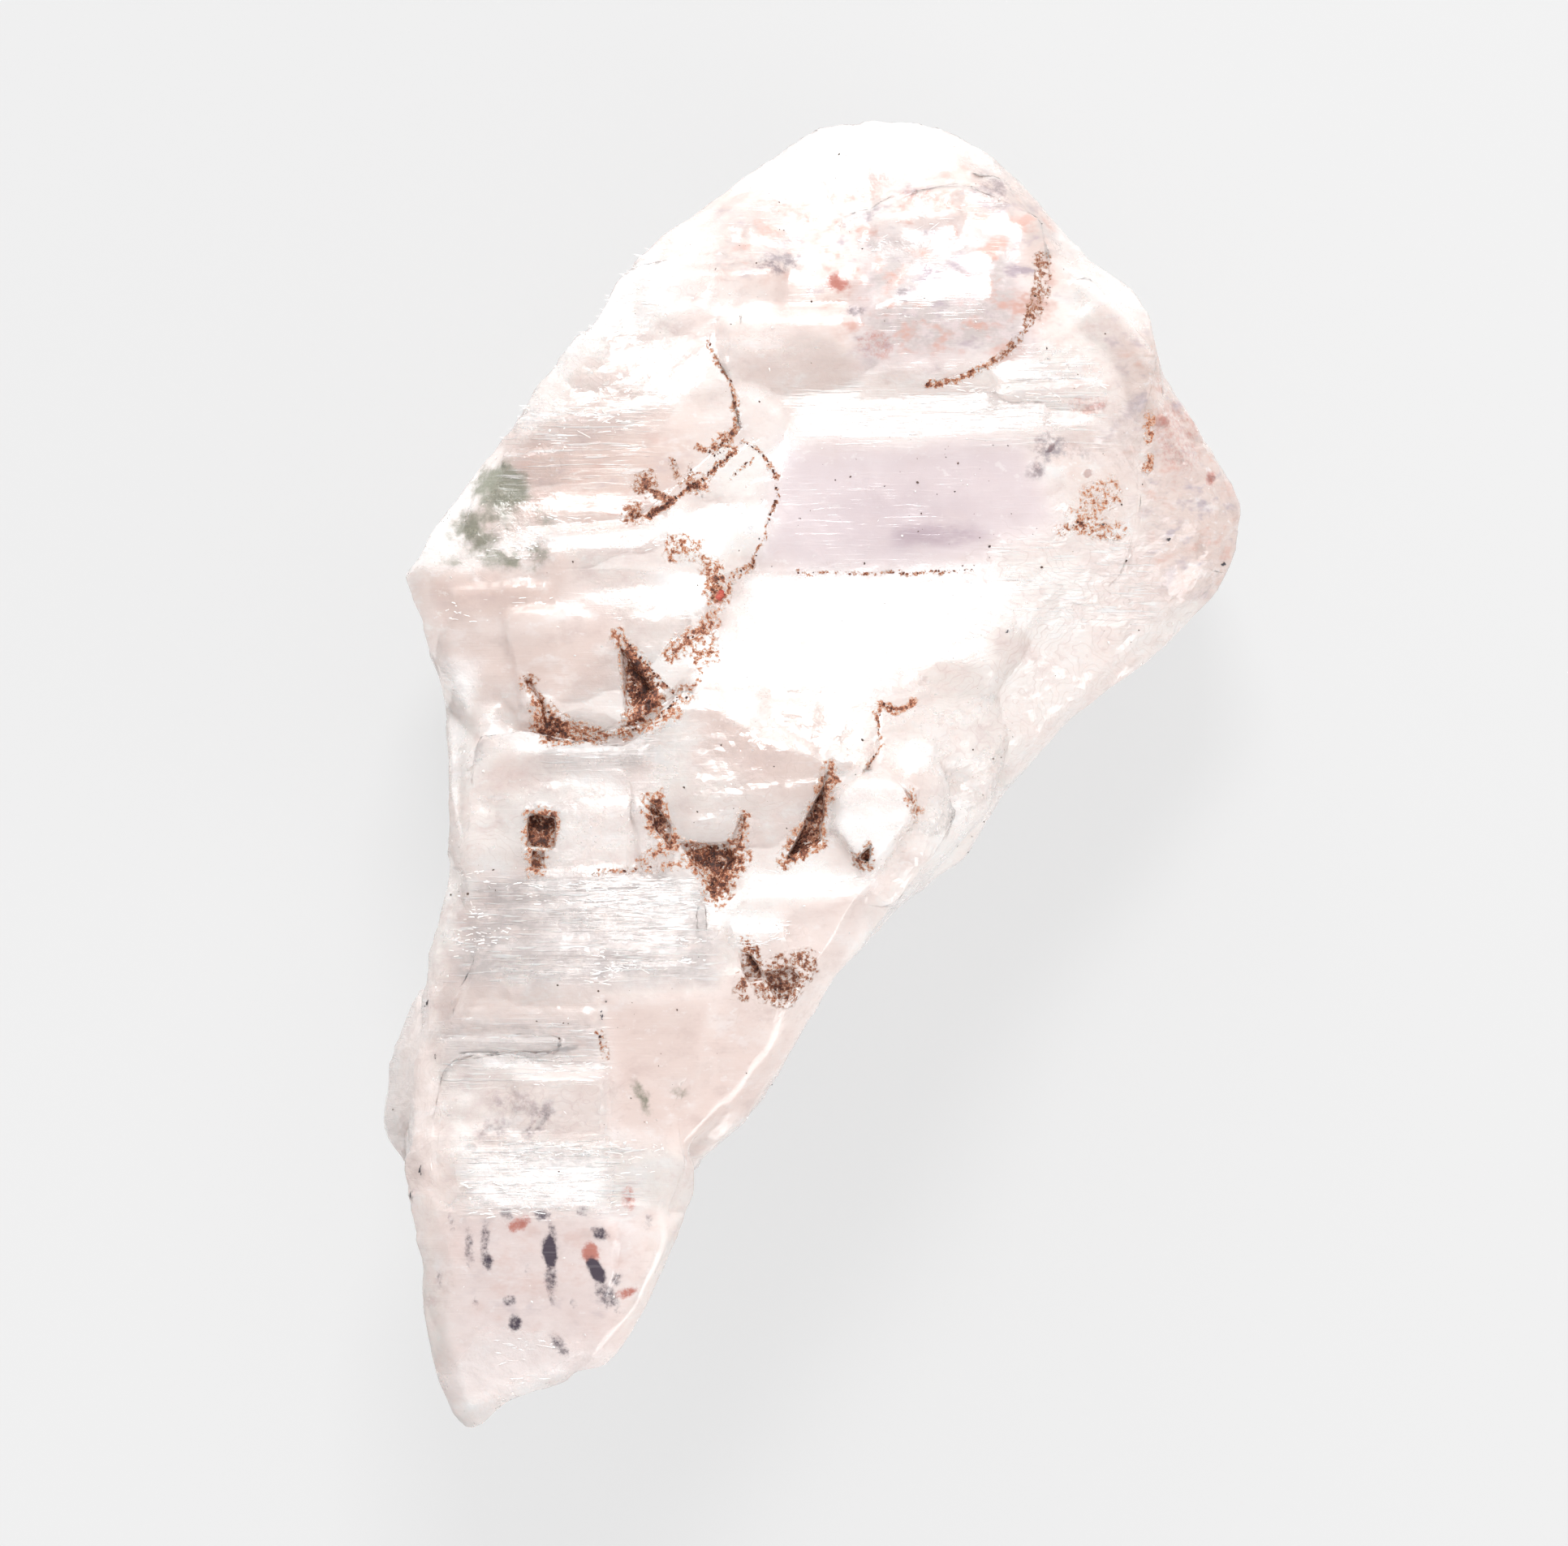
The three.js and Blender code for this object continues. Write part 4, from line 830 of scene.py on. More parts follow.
def stain_field(points, normals):
    total = areas(warped(points, 0.55, 0.2, 300), STAIN_AREAS, 0.24)
    flat = warped(points, 0.45, 0.13, 300)
    broken = 0.85 + 0.45 * layered(points, 0.7, 340, 2)
    for line, width, strength in STAIN_LINES + SOFT_LINES:
        reach = 1 - ramp(line_distance(flat, line), 0.3 * width, 1.5 * width)
        total = np.maximum(total, LINE_HAZE * strength * broken * reach)
    return np.clip(total, 0, 1.5) * front_share(normals)


def frost_and_ledge_highlight(points, normals, drawn_white, dull):
    """Etched white and painted highlight where drawn, and painted highlight on the growth ledges that face
    the upper end and the lights, but not on dull quartz.
    """
    ledge_highlight = ramp(normals[:, 1], 0.16, 0.48) * (0.75 + 0.4 * layered(points, 1.2, 210, 2))
    return np.clip(np.maximum(drawn_white, ledge_highlight * np.clip(1 - 0.9 * dull, 0, 1)), 0, 1)


def surface_fields(points, normals):
    """Every named field of the crystal's surface, from 0 to 1 at each point."""
    front = front_share(normals)
    back = 1 - front
    flat = warped(points, 1.2, 0.3, 20)
    near = warped(points, 0.6, 0.12, 60)
    waves = layered(points, 5.0, 90, 4)
    # Drawn white: etched quartz and painted highlight.
    white = np.maximum(areas(near, FROST_AND_HIGHLIGHT_AREAS, 0.3), areas(flat, SOFT_HIGHLIGHT_AREAS, 0.9))

    def behind(scale, seed, octaves, low, high):
        """Patches on the sides and back."""
        return back * ramp(layered(points, scale, seed, octaves), low, high)

    fields = {
        "rosy": areas(flat, ROSY_AREAS, 0.8) * front,
        "calm": areas(flat, CALM_AREAS, 0.4) * front,
        "ashen": areas(near, ASHEN_AREAS, 0.4) * front,
        "stain": stain_field(points, normals),
        "lilac": areas(flat, LILAC_AREAS, 0.6) * front,
        "clear": areas(flat, CLEAR_AREAS, 0.5) * front + back * ramp(waves, -0.1, 0.4) * 0.6,
        "green": patch(flat, GREEN_SPOTS) * front * ramp(layered(points, 0.5, 25, 3), -0.5, 0.2),
        "red": patch(warped(points, 0.3, 0.06, 360), RED_SPOTS) * front,
        "violet": patch(flat, VIOLET_SPOTS) * front,
        "dusk": patch(near, DUSK_SPOTS) * front,
        "rod": patch(warped(points, 0.3, 0.05, 350), ROD_SPOTS) * front,
        "etched": areas(flat, ETCHED_AREAS, 0.6) * front + 0.5 * behind(4.0, 98, 3, 0.0, 0.3),
        "blush": areas(flat, BLUSH_AREAS, 0.8) * front + 0.3 * back * ramp(waves, 0.0, 0.4),
        "chipped": areas(near, CHIPPED_AREAS, 0.5) * front + 0.6 * behind(3.0, 97, 4, 0.0, 0.3),
        "striate": areas(near, STRIATED_AREAS, 0.3) * front + behind(4.0, 99, 3, -0.3, 0.3),
    }
    dull = np.maximum.reduce([fields["rosy"], 0.8 * fields["ashen"], 1.1 * fields["calm"]])
    # Painted highlight on the ledges that face the lights and in drawn places, with etched white; frosted
    # patches on the back.
    fields["frost_and_highlight"] = frost_and_ledge_highlight(points, normals, white, dull) * front + 0.4 * behind(3.0, 95, 4, 0.1, 0.5)
    return fields


# Places where the growth blocks run into each other without a clear edge, and how much they do.
FUSED = [
    (1100, 230, 6.0, 3.2, -20, 1.0), (1330, 400, 2.6, 2.4, 0, 1.0), (1440, 560, 2.6, 5.0, 10, 1.0),
    (1120, 622, 4.4, 1.7, 0, 1.0), (840, 603, 2.0, 0.6, 36, 1.0), (935, 625, 1.2, 2.4, 0, 0.9),
    (1320, 850, 5.0, 2.0, 45, 1.0), (1160, 1060, 2.4, 1.6, 50, 1.0), (780, 400, 4.0, 2.6, 45, 0.9),
    (580, 950, 1.5, 4.4, 0, 0.9), (1150, 900, 2.6, 2.0, 0, 0.8), (840, 930, 2.4, 1.6, 0, 0.7),
    (820, 1350, 2.2, 2.8, 0, 0.9), (700, 1370, 3.0, 1.6, 0, 1.0), (890, 180, 4.5, 3.6, 0, 1.0),
    (1260, 250, 3.0, 3.0, 0, 1.0), (900, 540, 1.6, 2.0, 0, 0.9), (660, 1660, 3.2, 3.2, 0, 0.8),
    (500, 1330, 1.4, 4.2, 0, 0.9), (950, 1180, 2.0, 1.8, 0, 0.6), (1000, 850, 5.0, 1.6, -8, 1.0),
    (650, 1266, 4.0, 1.2, 0, 1.0), (560, 1180, 1.5, 5.0, 8, 1.0), (560, 1400, 1.6, 3.0, 0, 1.0),
    (880, 1140, 1.2, 2.6, 0, 1.0), (1400, 620, 1.6, 4.0, 0, 1.0), (980, 440, 3.4, 1.2, 0, 0.7),
    (1040, 310, 3.0, 1.6, 0, 0.7), (900, 1300, 2.4, 4.0, -30, 0.7), (620, 590, 2.0, 1.6, 0, 0.8),
    (700, 770, 3.2, 1.6, 0, 0.5), (1270, 600, 1.4, 1.8, 0, 0.7), (700, 1000, 2.2, 1.6, 0, 0.6),
    (830, 720, 1.4, 1.6, 0, 0.6), (790, 1420, 1.2, 3.0, 0, 1.0), (1386, 610, 1.1, 3.2, 0, 1.0),
    (1330, 755, 2.4, 1.1, 40, 1.0), (1245, 850, 1.1, 2.4, -20, 1.0), (1228, 940, 1.0, 2.4, 0, 1.0),
    (605, 1165, 1.2, 2.2, 0, 1.0), (1240, 640, 1.6, 1.0, 0, 0.9), (540, 830, 1.4, 3.0, 0, 0.7),
]
# Steps that stay crisp.
CRISP_AREAS = drawn([
    (1.0, 1000, 480, 1365, 480, 1362, 540, 1000, 550), (1.0, 914, 1056, 1096, 1056, 1090, 1120, 914, 1120),
    (0.8, *box(570, 1395, 745, 1500)), (2.2, *box(1015, 945, 1138, 1072)),
    (0.6, 940, 690, 1240, 680, 1240, 760, 930, 760), (1.0, *box(940, 930, 1030, 1080)),
    (1.0, *box(640, 990, 700, 1080)), (0.8, *box(780, 960, 930, 1120)), (0.7, *box(640, 760, 850, 935)),
    (0.8, *box(900, 1150, 1000, 1250)),
])


FINE_EDGE = 0.13
FINE_CELL = 0.1
FINE_REACH = 0.12
FINE_LOW = np.array([-13.0, -1.0])
FINE_HIGH = np.array([13.0, 38.0])


def fine_places():
    """A grid over the front, true close to a stain or small inclusion, which needs small triangles."""
    steps = [np.arange(low, high, FINE_CELL) for low, high in zip(FINE_LOW, FINE_HIGH)]
    flat = np.stack(np.meshgrid(*steps, indexing="ij"), axis=-1).reshape(-1, 2)
    near = np.zeros(len(flat), dtype=bool)
    for outline, _ in STAIN_AREAS:
        near |= depth_inside(flat, outline) > -FINE_REACH
    for line, width, _ in STAIN_LINES + SOFT_LINES:
        near |= line_distance(flat, line) < width + FINE_REACH
    near |= patch(flat, ROD_SPOTS) > 0
    near |= patch(flat, RED_SPOTS) > 0.5
    return near.reshape(len(steps[0]), len(steps[1]))


def edge_limit(normals):
    """The longest edge allowed at each place."""
    fine = fine_places()

    def limit(middles, origin):
        up = normals[origin, 2]
        coarse = np.select([up > 0.45, up > 0.05, up > -0.4], [FRONT_EDGE, SLOPE_EDGE, SIDE_EDGE], BACK_EDGE)
        cell = ((middles[:, :2] - FINE_LOW) / FINE_CELL).astype(int)
        cell = np.clip(cell, 0, np.array(fine.shape) - 1)
        return np.where(fine[cell[:, 0], cell[:, 1]] & (up > 0), FINE_EDGE, coarse)
    return limit


HEIGHT_CELL = 0.25
HEIGHT_BLUR = 1.7
RELIEF_KEPT = 0.36
CRISP_KEPT = 0.24


def blurred(grid, sigma):
    """A grid smoothed along both of its axes."""
    reach = int(3 * sigma)
    kernel = np.exp(-0.5 * (np.arange(-reach, reach + 1) / sigma) ** 2)
    kernel /= kernel.sum()
    for axis in (0, 1):
        grid = np.apply_along_axis(lambda line: np.convolve(line, kernel, mode="same"), axis, grid)
    return grid


def broad_height(points):
    """The height of the front at each point once its steps are smoothed away."""
    low = points[:, :2].min(axis=0) - 1
    cell = ((points[:, :2] - low) / HEIGHT_CELL).astype(int)
    top = np.full(cell.max(axis=0) + 6, -1.0)
    np.maximum.at(top, (cell[:, 0], cell[:, 1]), points[:, 2])
    filled = (top >= 0).astype(float)
    sigma = HEIGHT_BLUR / HEIGHT_CELL
    smooth = blurred(top * filled, sigma) / np.maximum(blurred(filled, sigma), 1e-3)
    place = (points[:, :2] - low) / HEIGHT_CELL - 0.5
    x, y = np.floor(place).astype(int).T
    u, v = (place - np.floor(place)).T
    return (
        smooth[x, y] * (1 - u) * (1 - v) + smooth[x + 1, y] * u * (1 - v)
        + smooth[x, y + 1] * (1 - u) * v + smooth[x + 1, y + 1] * u * v
    )


def softened(points, fused, crisp):
    """Brings the steps of the front closer to its broad form, most of all where it is fused."""
    kept = (RELIEF_KEPT + CRISP_KEPT * crisp) * (1 - 0.9 * ramp(fused, 0.0, 0.8) * np.clip(1 - crisp, 0, 1))
    above = points[:, 2] - broad_height(points)
    front = 1 - ramp(np.abs(above), 2.0, 4.0)
    moved = points.copy()
    moved[:, 2] += front * (kept - 1) * above
    return moved


def worn(points, faces):
    """Rounds the edges by wear, and lets fused growth blocks run together."""
    edges, _ = shared_edges(faces, len(points))
    normals = point_normals(points, faces)
    crisp = areas(points[:, :2], CRISP_AREAS, 0.7)
    blunt = np.clip(1 - 0.8 * crisp, 0, 1)
    upper = ramp(points[:, 2] - broad_height(points), -3.0, -1.5)
    upper = upper * ramp(depth_inside(points[:, :2], OUTLINE), 0.15, 0.8)
    points = relax(points, edges, 0.3 + 0.2 * noise(points, 1.4, 7), 1)
    points = relax(points, edges, 0.5 * np.maximum(front_share(normals), upper) * blunt, 3)
    rim = (1 - ramp(np.abs(depth_inside(points[:, :2], OUTLINE)), 0.2, 0.9)) * ramp(points[:, 2], 1.0, 3.0)
    points = relax(points, edges, 0.5 * rim, 4)
    fused = patch(warped(points, 2.0, 0.6, 400), FUSED) * upper * blunt
    points = softened(relax(points, edges, 0.5 * ramp(fused, 0.1, 0.6), 10), fused, crisp)
    points = relax(points, edges, 0.5 * ramp(fused, 0.1, 0.5), 8)
    return rambled(points, normals, fused)


def rambled(points, normals, fused):
    """Shifts the front sideways by noise, so that no edge is drawn with a ruler."""
    shift = (0.5 + 1.5 * fused) * front_share(normals) * ramp(depth_inside(points[:, :2], OUTLINE), 0.1, 1.2)
    for axis in (0, 1):
        push = 0.10 * layered(points, 1.6, 420 + 40 * axis, 2)
        push += 0.05 * layered(points, 0.5, 430 + 40 * axis, 2)
        points = points + np.eye(3)[axis] * (shift * push)[:, None]
    return points


def ledges(points, period, rise, seed, slant=0.09):
    """Growth ledges across the c-axis, from 0 to 1: each rises quickly and falls back slowly towards -Y."""
    upper = ramp(points[:, 1], 14, 20)
    level = points[:, 1] - slant * upper * points[:, 0]
    warp = layered(points, (7.0, 3.0, 7.0), seed, 2)
    u = -level / period + 1.6 * warp
    count = np.floor(u)
    f = u - count
    height = np.where(f < rise, f / rise, (1 - f) / (1 - rise))
    cells = np.stack([points[:, 0] / (2.2 * period) + 17.3 * count, count * 9.7, 0 * count], axis=1)
    return height * ramp(noise(cells, 1.0, seed + 5), -0.15, 0.25)


def surface_relief(points, normals, fields):
    """How far each point is moved along its normal, in millimetres."""
    rest = ramp(points[:, 2], 0.1, 0.6)
    waves = 0.04 * layered(points, 3.2, 500, 3) + 0.03 * layered(points, 0.9, 510, 3)
    waves += 0.05 * fields["chipped"] * layered(points, 0.6, 515, 3)
    striate = fields["striate"]
    lively = 1 - fields["calm"]
    striae = lively * (0.035 + 0.03 * striate) * ledges(points, 1.5, 0.14, 520)
    striae += lively * (0.025 + 0.035 * striate) * ledges(points, 0.62, 0.3, 530)
    for place, width, fall, height in STRIPS:
        striae += height * strip(points, place, width, fall)
    etched = (0.015 + 0.03 * fields["frost_and_highlight"]) * layered(points, 0.35, 540, 2)
    crust = 0.05 * np.clip(fields["stain"], 0, 1) * layered(points, 0.22, 550, 2)
    return rest * (waves + striae + etched + crust)


def strip(points, place, width, fall):
    """One named growth ledge, from 0 to 1; `place` is its ends and `width` its bright height."""
    (ax, ay), (bx, by) = place
    along = (points[:, 0] - ax) / (bx - ax)
    drop = ay + (by - ay) * along - points[:, 1] + 0.05 * noise(points, 0.6, 77)
    ends = ramp(along, -0.06, 0.06) * (1 - ramp(along, 0.94, 1.06))
    profile = np.where(drop < width, ramp(drop, -0.02, width), np.clip(1 - (drop - width) / fall, 0, 1))
    return ends * profile


ROUGH_FROM = 0.42  # above this share of chipping a face is shaded flat


def make_crystal():
    points, faces = cad_triangles("quartz_crystal")
    points, faces, _ = refine(points, faces, edge_limit(unit_rows(cross_normals(points, faces))))
    low, high = points.min(axis=0), points.max(axis=0)
    points = worn(points, faces)
    facing = point_normals(points, faces)
    fields = surface_fields(points, facing)
    points = points + facing * surface_relief(points, facing, fields)[:, None]
    faces = without_doubles(faces)
    crystal = mesh_object("crystal", np.clip(points, low, high), faces, quartz_material())
    for name, values in fields.items():
        point_attribute(crystal.data, name, values)
    smooth = fields["chipped"][faces].mean(axis=1) < ROUGH_FROM
    crystal.data.polygons.foreach_set("use_smooth", smooth)
    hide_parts("quartz_crystal")
    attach(crystal, "root")
    return crystal


crystal = make_crystal()


ABOVE = 40
BELOW = -10


class Surface:
    """The finished crystal's surface, to put small things on it or under it."""

    def __init__(self, crystal):
        mesh = crystal.data
        count = len(mesh.vertices)
        points = np.empty(count * 3, dtype=np.float32)
        mesh.vertices.foreach_get("co", points)
        self.points = points.reshape(-1, 3).astype(float) / MM + np.array([*ORIGIN, 0])
        faces = np.empty(len(mesh.polygons) * 3, dtype=np.int32)
        mesh.polygons.foreach_get("vertices", faces)
        self.faces = faces.reshape(-1, 3)
        self.tree = BVHTree.FromPolygons(self.points.tolist(), self.faces.tolist())
        cross = cross_normals(self.points, self.faces)
        self.area = np.linalg.norm(cross, axis=1) / 2
        self.normals = unit_rows(cross)
        a, b, c = (self.points[self.faces[:, i]] for i in range(3))
        self.middles = (a + b + c) / 3

    def top(self, x, y):
        """The height of the front at a place, or None beside the crystal."""
        hit = self.tree.ray_cast(Vector((x, y, ABOVE)), Vector((0, 0, -1)))[0]
        return None if hit is None else hit.z

    def bottom(self, x, y):
        hit = self.tree.ray_cast(Vector((x, y, BELOW)), Vector((0, 0, 1)))[0]
        return None if hit is None else hit.z

    def scatter(self, count, weight, rng):
        """Random places on the faces, more of them where the weight is high: points and normals."""
        share = np.cumsum(self.area * weight)
        chosen = np.searchsorted(share, rng.random(count) * share[-1])
        corners = self.points[self.faces[chosen]]
        mix = rng.dirichlet((1, 1, 1), count)
        return np.einsum("ij,ijk->ik", mix, corners), self.normals[chosen]


def random_turns(count, rng):
    """Rotation matrices that turn a thing any way."""
    q = rng.normal(size=(count, 4))
    w, x, y, z = (q / np.linalg.norm(q, axis=1)[:, None]).T
    return np.stack([
        np.stack([1 - 2 * (y * y + z * z), 2 * (x * y - z * w), 2 * (x * z + y * w)], 1),
        np.stack([2 * (x * y + z * w), 1 - 2 * (x * x + z * z), 2 * (y * z - x * w)], 1),
        np.stack([2 * (x * z - y * w), 2 * (y * z + x * w), 1 - 2 * (x * x + y * y)], 1),
    ], 1)


def quartered(points, faces):
    """Every triangle of a mesh split into four at the middles of its edges."""
    edges, inverse = shared_edges(faces, len(points))
    middle = len(points) + inverse.reshape(-1, 3)
    points = np.concatenate([points, points[edges].mean(axis=1)])
    corners = [np.stack([faces[:, i], middle[:, i], middle[:, i - 1]], 1) for i in range(3)]
    return points, np.concatenate([*corners, middle])


def ball(rounds):
    """A unit ball of triangles, from an octahedron split a number of times."""
    points = np.array([[1, 0, 0], [-1, 0, 0], [0, 1, 0], [0, -1, 0], [0, 0, 1], [0, 0, -1]], dtype=float)
    ring = [(0, 2), (2, 1), (1, 3), (3, 0)]
    faces = np.array([[a, b, 4] for a, b in ring] + [[b, a, 5] for a, b in ring])
    for i in range(rounds):
        points, faces = quartered(points, faces)
        points /= np.linalg.norm(points, axis=1)[:, None]
    return points, faces


def joined(parts):
    """One list of points and faces from several."""
    points, faces, count = [], [], 0
    for part_points, part_faces in parts:
        points.append(part_points)
        faces.append(part_faces + count)
        count += len(part_points)
    return np.concatenate(points), np.concatenate(faces)


def grains(places, sizes, flat, rng, rounds=1):
    """Small irregular crumbs at places: their half sizes, how flat they are, each turned its own way."""
    unit, faces = ball(rounds)
    parts = []
    turns = random_turns(len(places), rng)
    for place, size, turn in zip(places, sizes, turns):
        uneven = 1 + 0.35 * (rng.random(len(unit)) - 0.5)[:, None]
        stretch = size * np.array([1, 0.55 + 0.4 * rng.random(), flat + 0.3 * rng.random()])
        parts.append((unit * uneven * stretch @ turn.T + place, faces))
    return joined(parts)


def small_piece(name, parts, material, smooth=False):
    points, faces = parts
    piece = mesh_object(name, points, faces, material)
    piece.data.polygons.foreach_set("use_smooth", np.full(len(piece.data.polygons), smooth))
    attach(piece, "root")
    return piece


def mineral_material(name, colours, size, roughness, metallic=0.0, transmission=0.0):
    """An opaque mineral whose colour varies over the given size in millimetres."""
    n = Nodes(name)
    n.set("Base Color", n.colours(n.noise(size, detail=4.0, rough=0.7), colours))
    n.set("Roughness", n.ramp(n.noise(size / 2), -roughness, 1.6 - roughness))
    n.set("Metallic", metallic)
    n.set("Transmission Weight", transmission)
    n.set("Normal", n.bump(n.noise(size / 3, detail=2.0), 0.02))
    return n.material


# How many small things are strewn over the crystal.
CRUMBS = 1300
SPECKS = 260
CHIPS = 700
SLIVERS = 1250


def along(line, spacing, rng):
    """Places along a bent line, about `spacing` millimetres apart, each a little out of step."""
    places = []
    for (ax, ay), (bx, by) in zip(line, line[1:]):
        count = max(1, round(math.hypot(bx - ax, by - ay) / spacing))
        for share in (np.arange(count) + rng.random(count)) / count:
            places.append((ax + share * (bx - ax), ay + share * (by - ay)))
    return np.array(places)


def suture_places(surface, rng):
    """Places of crumbs along the stained sutures and cracks, with gaps."""
    places = []
    for line, width, strength in STAIN_LINES:
        spots = along(line, 0.05 / strength, rng)
        spots = spots + rng.normal(size=spots.shape) * 0.35 * width
        gaps = layered(np.column_stack([spots, 0 * spots[:, 0]]), 0.5, 341, 2)
        for x, y in spots[gaps > -0.2]:
            found = surface.top(x, y)
            if found is not None:
                places.append((x, y, found))
    return np.array(places)


def make_crust(surface):
    """Crumbs of iron oxide where the stain is."""
    rng = np.random.default_rng(11)
    stain = stain_field(surface.middles, surface.normals)
    clumps = ramp(layered(surface.middles, 0.4, 345, 2), -0.35, 0.35)
    places, _ = surface.scatter(CRUMBS, ramp(stain, 0.5, 1.2) * clumps, rng)
    places = np.concatenate([places, suture_places(surface, rng)])
    sizes = 0.012 + 0.045 * rng.random(len(places)) ** 3
    crumbs = grains(places, sizes, 0.5, rng)
    stops = [(0.36, (0.016, 0.005, 0.004)), (0.48, (0.06, 0.014, 0.007)), (0.6, (0.16, 0.042, 0.016)),
             (0.74, (0.30, 0.10, 0.04))]
    small_piece("iron_crust", crumbs, mineral_material("iron_oxide", stops, 0.09, 0.6))


def make_specks(surface):
    """Tiny dark grains strewn over the front."""
    rng = np.random.default_rng(12)
    where = surface.middles
    clumps = ramp(layered(where, 2.2, 610, 3), -0.05, 0.5)
    weight = front_share(surface.normals) * (0.05 + clumps) * ramp(where[:, 1], 5, 14)
    places, _ = surface.scatter(SPECKS, weight, rng)
    sizes = 0.012 + 0.04 * rng.random(len(places)) ** 3
    stops = [(0.35, (0.02, 0.015, 0.015)), (0.6, (0.09, 0.05, 0.035))]
    material = mineral_material("dark_oxide", stops, 0.1, 0.5)
    small_piece("dark_specks", grains(places, sizes, 0.4, rng), material)


# Hematite under the surface: pixel, half length, half width, turn in degrees, and depth under the face.
DARK_RODS = [
    (681, 1538, 0.42, 0.12, 92, 0.1), (684, 1580, 0.3, 0.08, 95, 0.16), (737, 1560, 0.34, 0.12, 120, 0.1),
    (750, 1592, 0.3, 0.1, 125, 0.14), (603, 1545, 0.2, 0.06, 95, 0.08), (742, 1514, 0.16, 0.1, 150, 0.06),
    (638, 1624, 0.14, 0.1, 80, 0.06), (672, 1491, 0.16, 0.07, 0, 0.06), (628, 1489, 0.14, 0.06, 140, 0.08),
    (742, 1252, 0.2, 0.11, 60, 0.0), (748, 1233, 0.1, 0.08, 40, 0.0), (728, 1262, 0.09, 0.07, 20, 0.0),
    (1060, 395, 0.16, 0.12, 0, 0.2), (935, 330, 0.4, 0.2, 10, 0.3), (1110, 365, 0.25, 0.14, 60, 0.2),
    (524, 1440, 0.22, 0.09, 95, 0.03), (512, 1470, 0.16, 0.07, 90, 0.03), (700, 1290, 0.35, 0.1, 10, 0.2),
    (672, 1376, 0.4, 0.1, 55, 0.2), (610, 1390, 0.3, 0.1, 20, 0.25), (585, 1412, 0.2, 0.12, 0, 0.2),
    (1357, 647, 0.14, 0.04, 5, 0.0), (1440, 665, 0.06, 0.05, 0, 0.0), (1510, 695, 0.07, 0.06, 0, 0.0),
    (529, 1235, 0.12, 0.05, 60, 0.0), (540, 1300, 0.1, 0.04, 90, 0.0), (1240, 780, 0.06, 0.04, 20, 0.0),
]
RED_FLAKES = [
    (643, 1503, 0.3, 0.1, 25, 0.04), (730, 1536, 0.2, 0.14, 105, 0.03), (774, 1587, 0.3, 0.08, 20, 0.06),
    (776, 1472, 0.24, 0.08, 80, 0.12), (1033, 348, 0.28, 0.2, -20, 0.1), (1080, 422, 0.4, 0.24, 0, 0.3),
    (1492, 590, 0.1, 0.12, 20, 0.12), (1340, 585, 0.14, 0.1, 0, 0.12), (1198, 330, 0.35, 0.2, 40, 0.25),
    (885, 737, 0.14, 0.18, 20, 0.0), (812, 628, 0.3, 0.08, 20, 0.16), (770, 628, 0.4, 0.1, 5, 0.2),
    (1130, 240, 0.35, 0.15, 10, 0.2), (1160, 262, 0.3, 0.12, 0, 0.2), (1430, 520, 0.2, 0.16, 10, 0.3),
    (1350, 500, 0.3, 0.12, 0, 0.2), (1190, 290, 0.3, 0.12, 20, 0.2), (1105, 320, 0.2, 0.12, 0, 0.2),
    (1225, 360, 0.25, 0.12, 60, 0.2), (1294, 552, 0.2, 0.1, 40, 0.16), (1277, 577, 0.16, 0.1, 100, 0.16),
]


def sunken(surface, named, rng, thick):
    """Flakes and rods under the front face, each a cluster of small uneven lumps."""
    unit, faces = ball(1)
    parts = []
    for column, row, length, width, turn, depth in named:
        angle = math.radians(turn)
        along_it = np.array([math.cos(angle), math.sin(angle)])
        across_it = np.array([-math.sin(angle), math.cos(angle)])
        for _ in range(12 + int(110 * length * width)):
            u = length * np.clip(rng.normal() * 0.5, -1, 1)
            taper = 1 - 0.6 * abs(u) / length
            v = width * np.clip(rng.normal() * 0.4, -1, 1) * taper
            place = np.array(px(column, row)) + u * along_it + v * across_it
            size = width * (0.35 + 0.45 * rng.random()) * (1 - 0.5 * abs(u) / length)
            lumps = 1 + 0.5 * layered(unit + rng.random(3) * 50, 0.7, 640, 2)
            body = unit * lumps[:, None] * size
            stretch = 1 + 1.2 * rng.random()
            flat = body[:, :1] * stretch * along_it + body[:, 1:2] * across_it
            found = surface.top(*place)
            if found is None:
                continue
            height = found - depth * (0.8 + 0.4 * rng.random()) - thick * size
            parts.append((np.column_stack([flat + place, body[:, 2] * thick + height]), faces))
    return joined(parts)


def make_inclusions(surface):
    rng = np.random.default_rng(13)
    dark = [(0.3, (0.012, 0.011, 0.014)), (0.6, (0.06, 0.05, 0.06))]
    red = [(0.3, (0.10, 0.012, 0.008)), (0.5, (0.34, 0.04, 0.026)), (0.7, (0.55, 0.13, 0.08))]
    small_piece("hematite_rods", sunken(surface, DARK_RODS, rng, 0.6),
                mineral_material("hematite_dark", dark, 0.2, 0.35), smooth=True)
    small_piece("hematite_flakes", sunken(surface, RED_FLAKES, rng, 0.4),
                mineral_material("hematite_red", red, 0.25, 0.4), smooth=True)


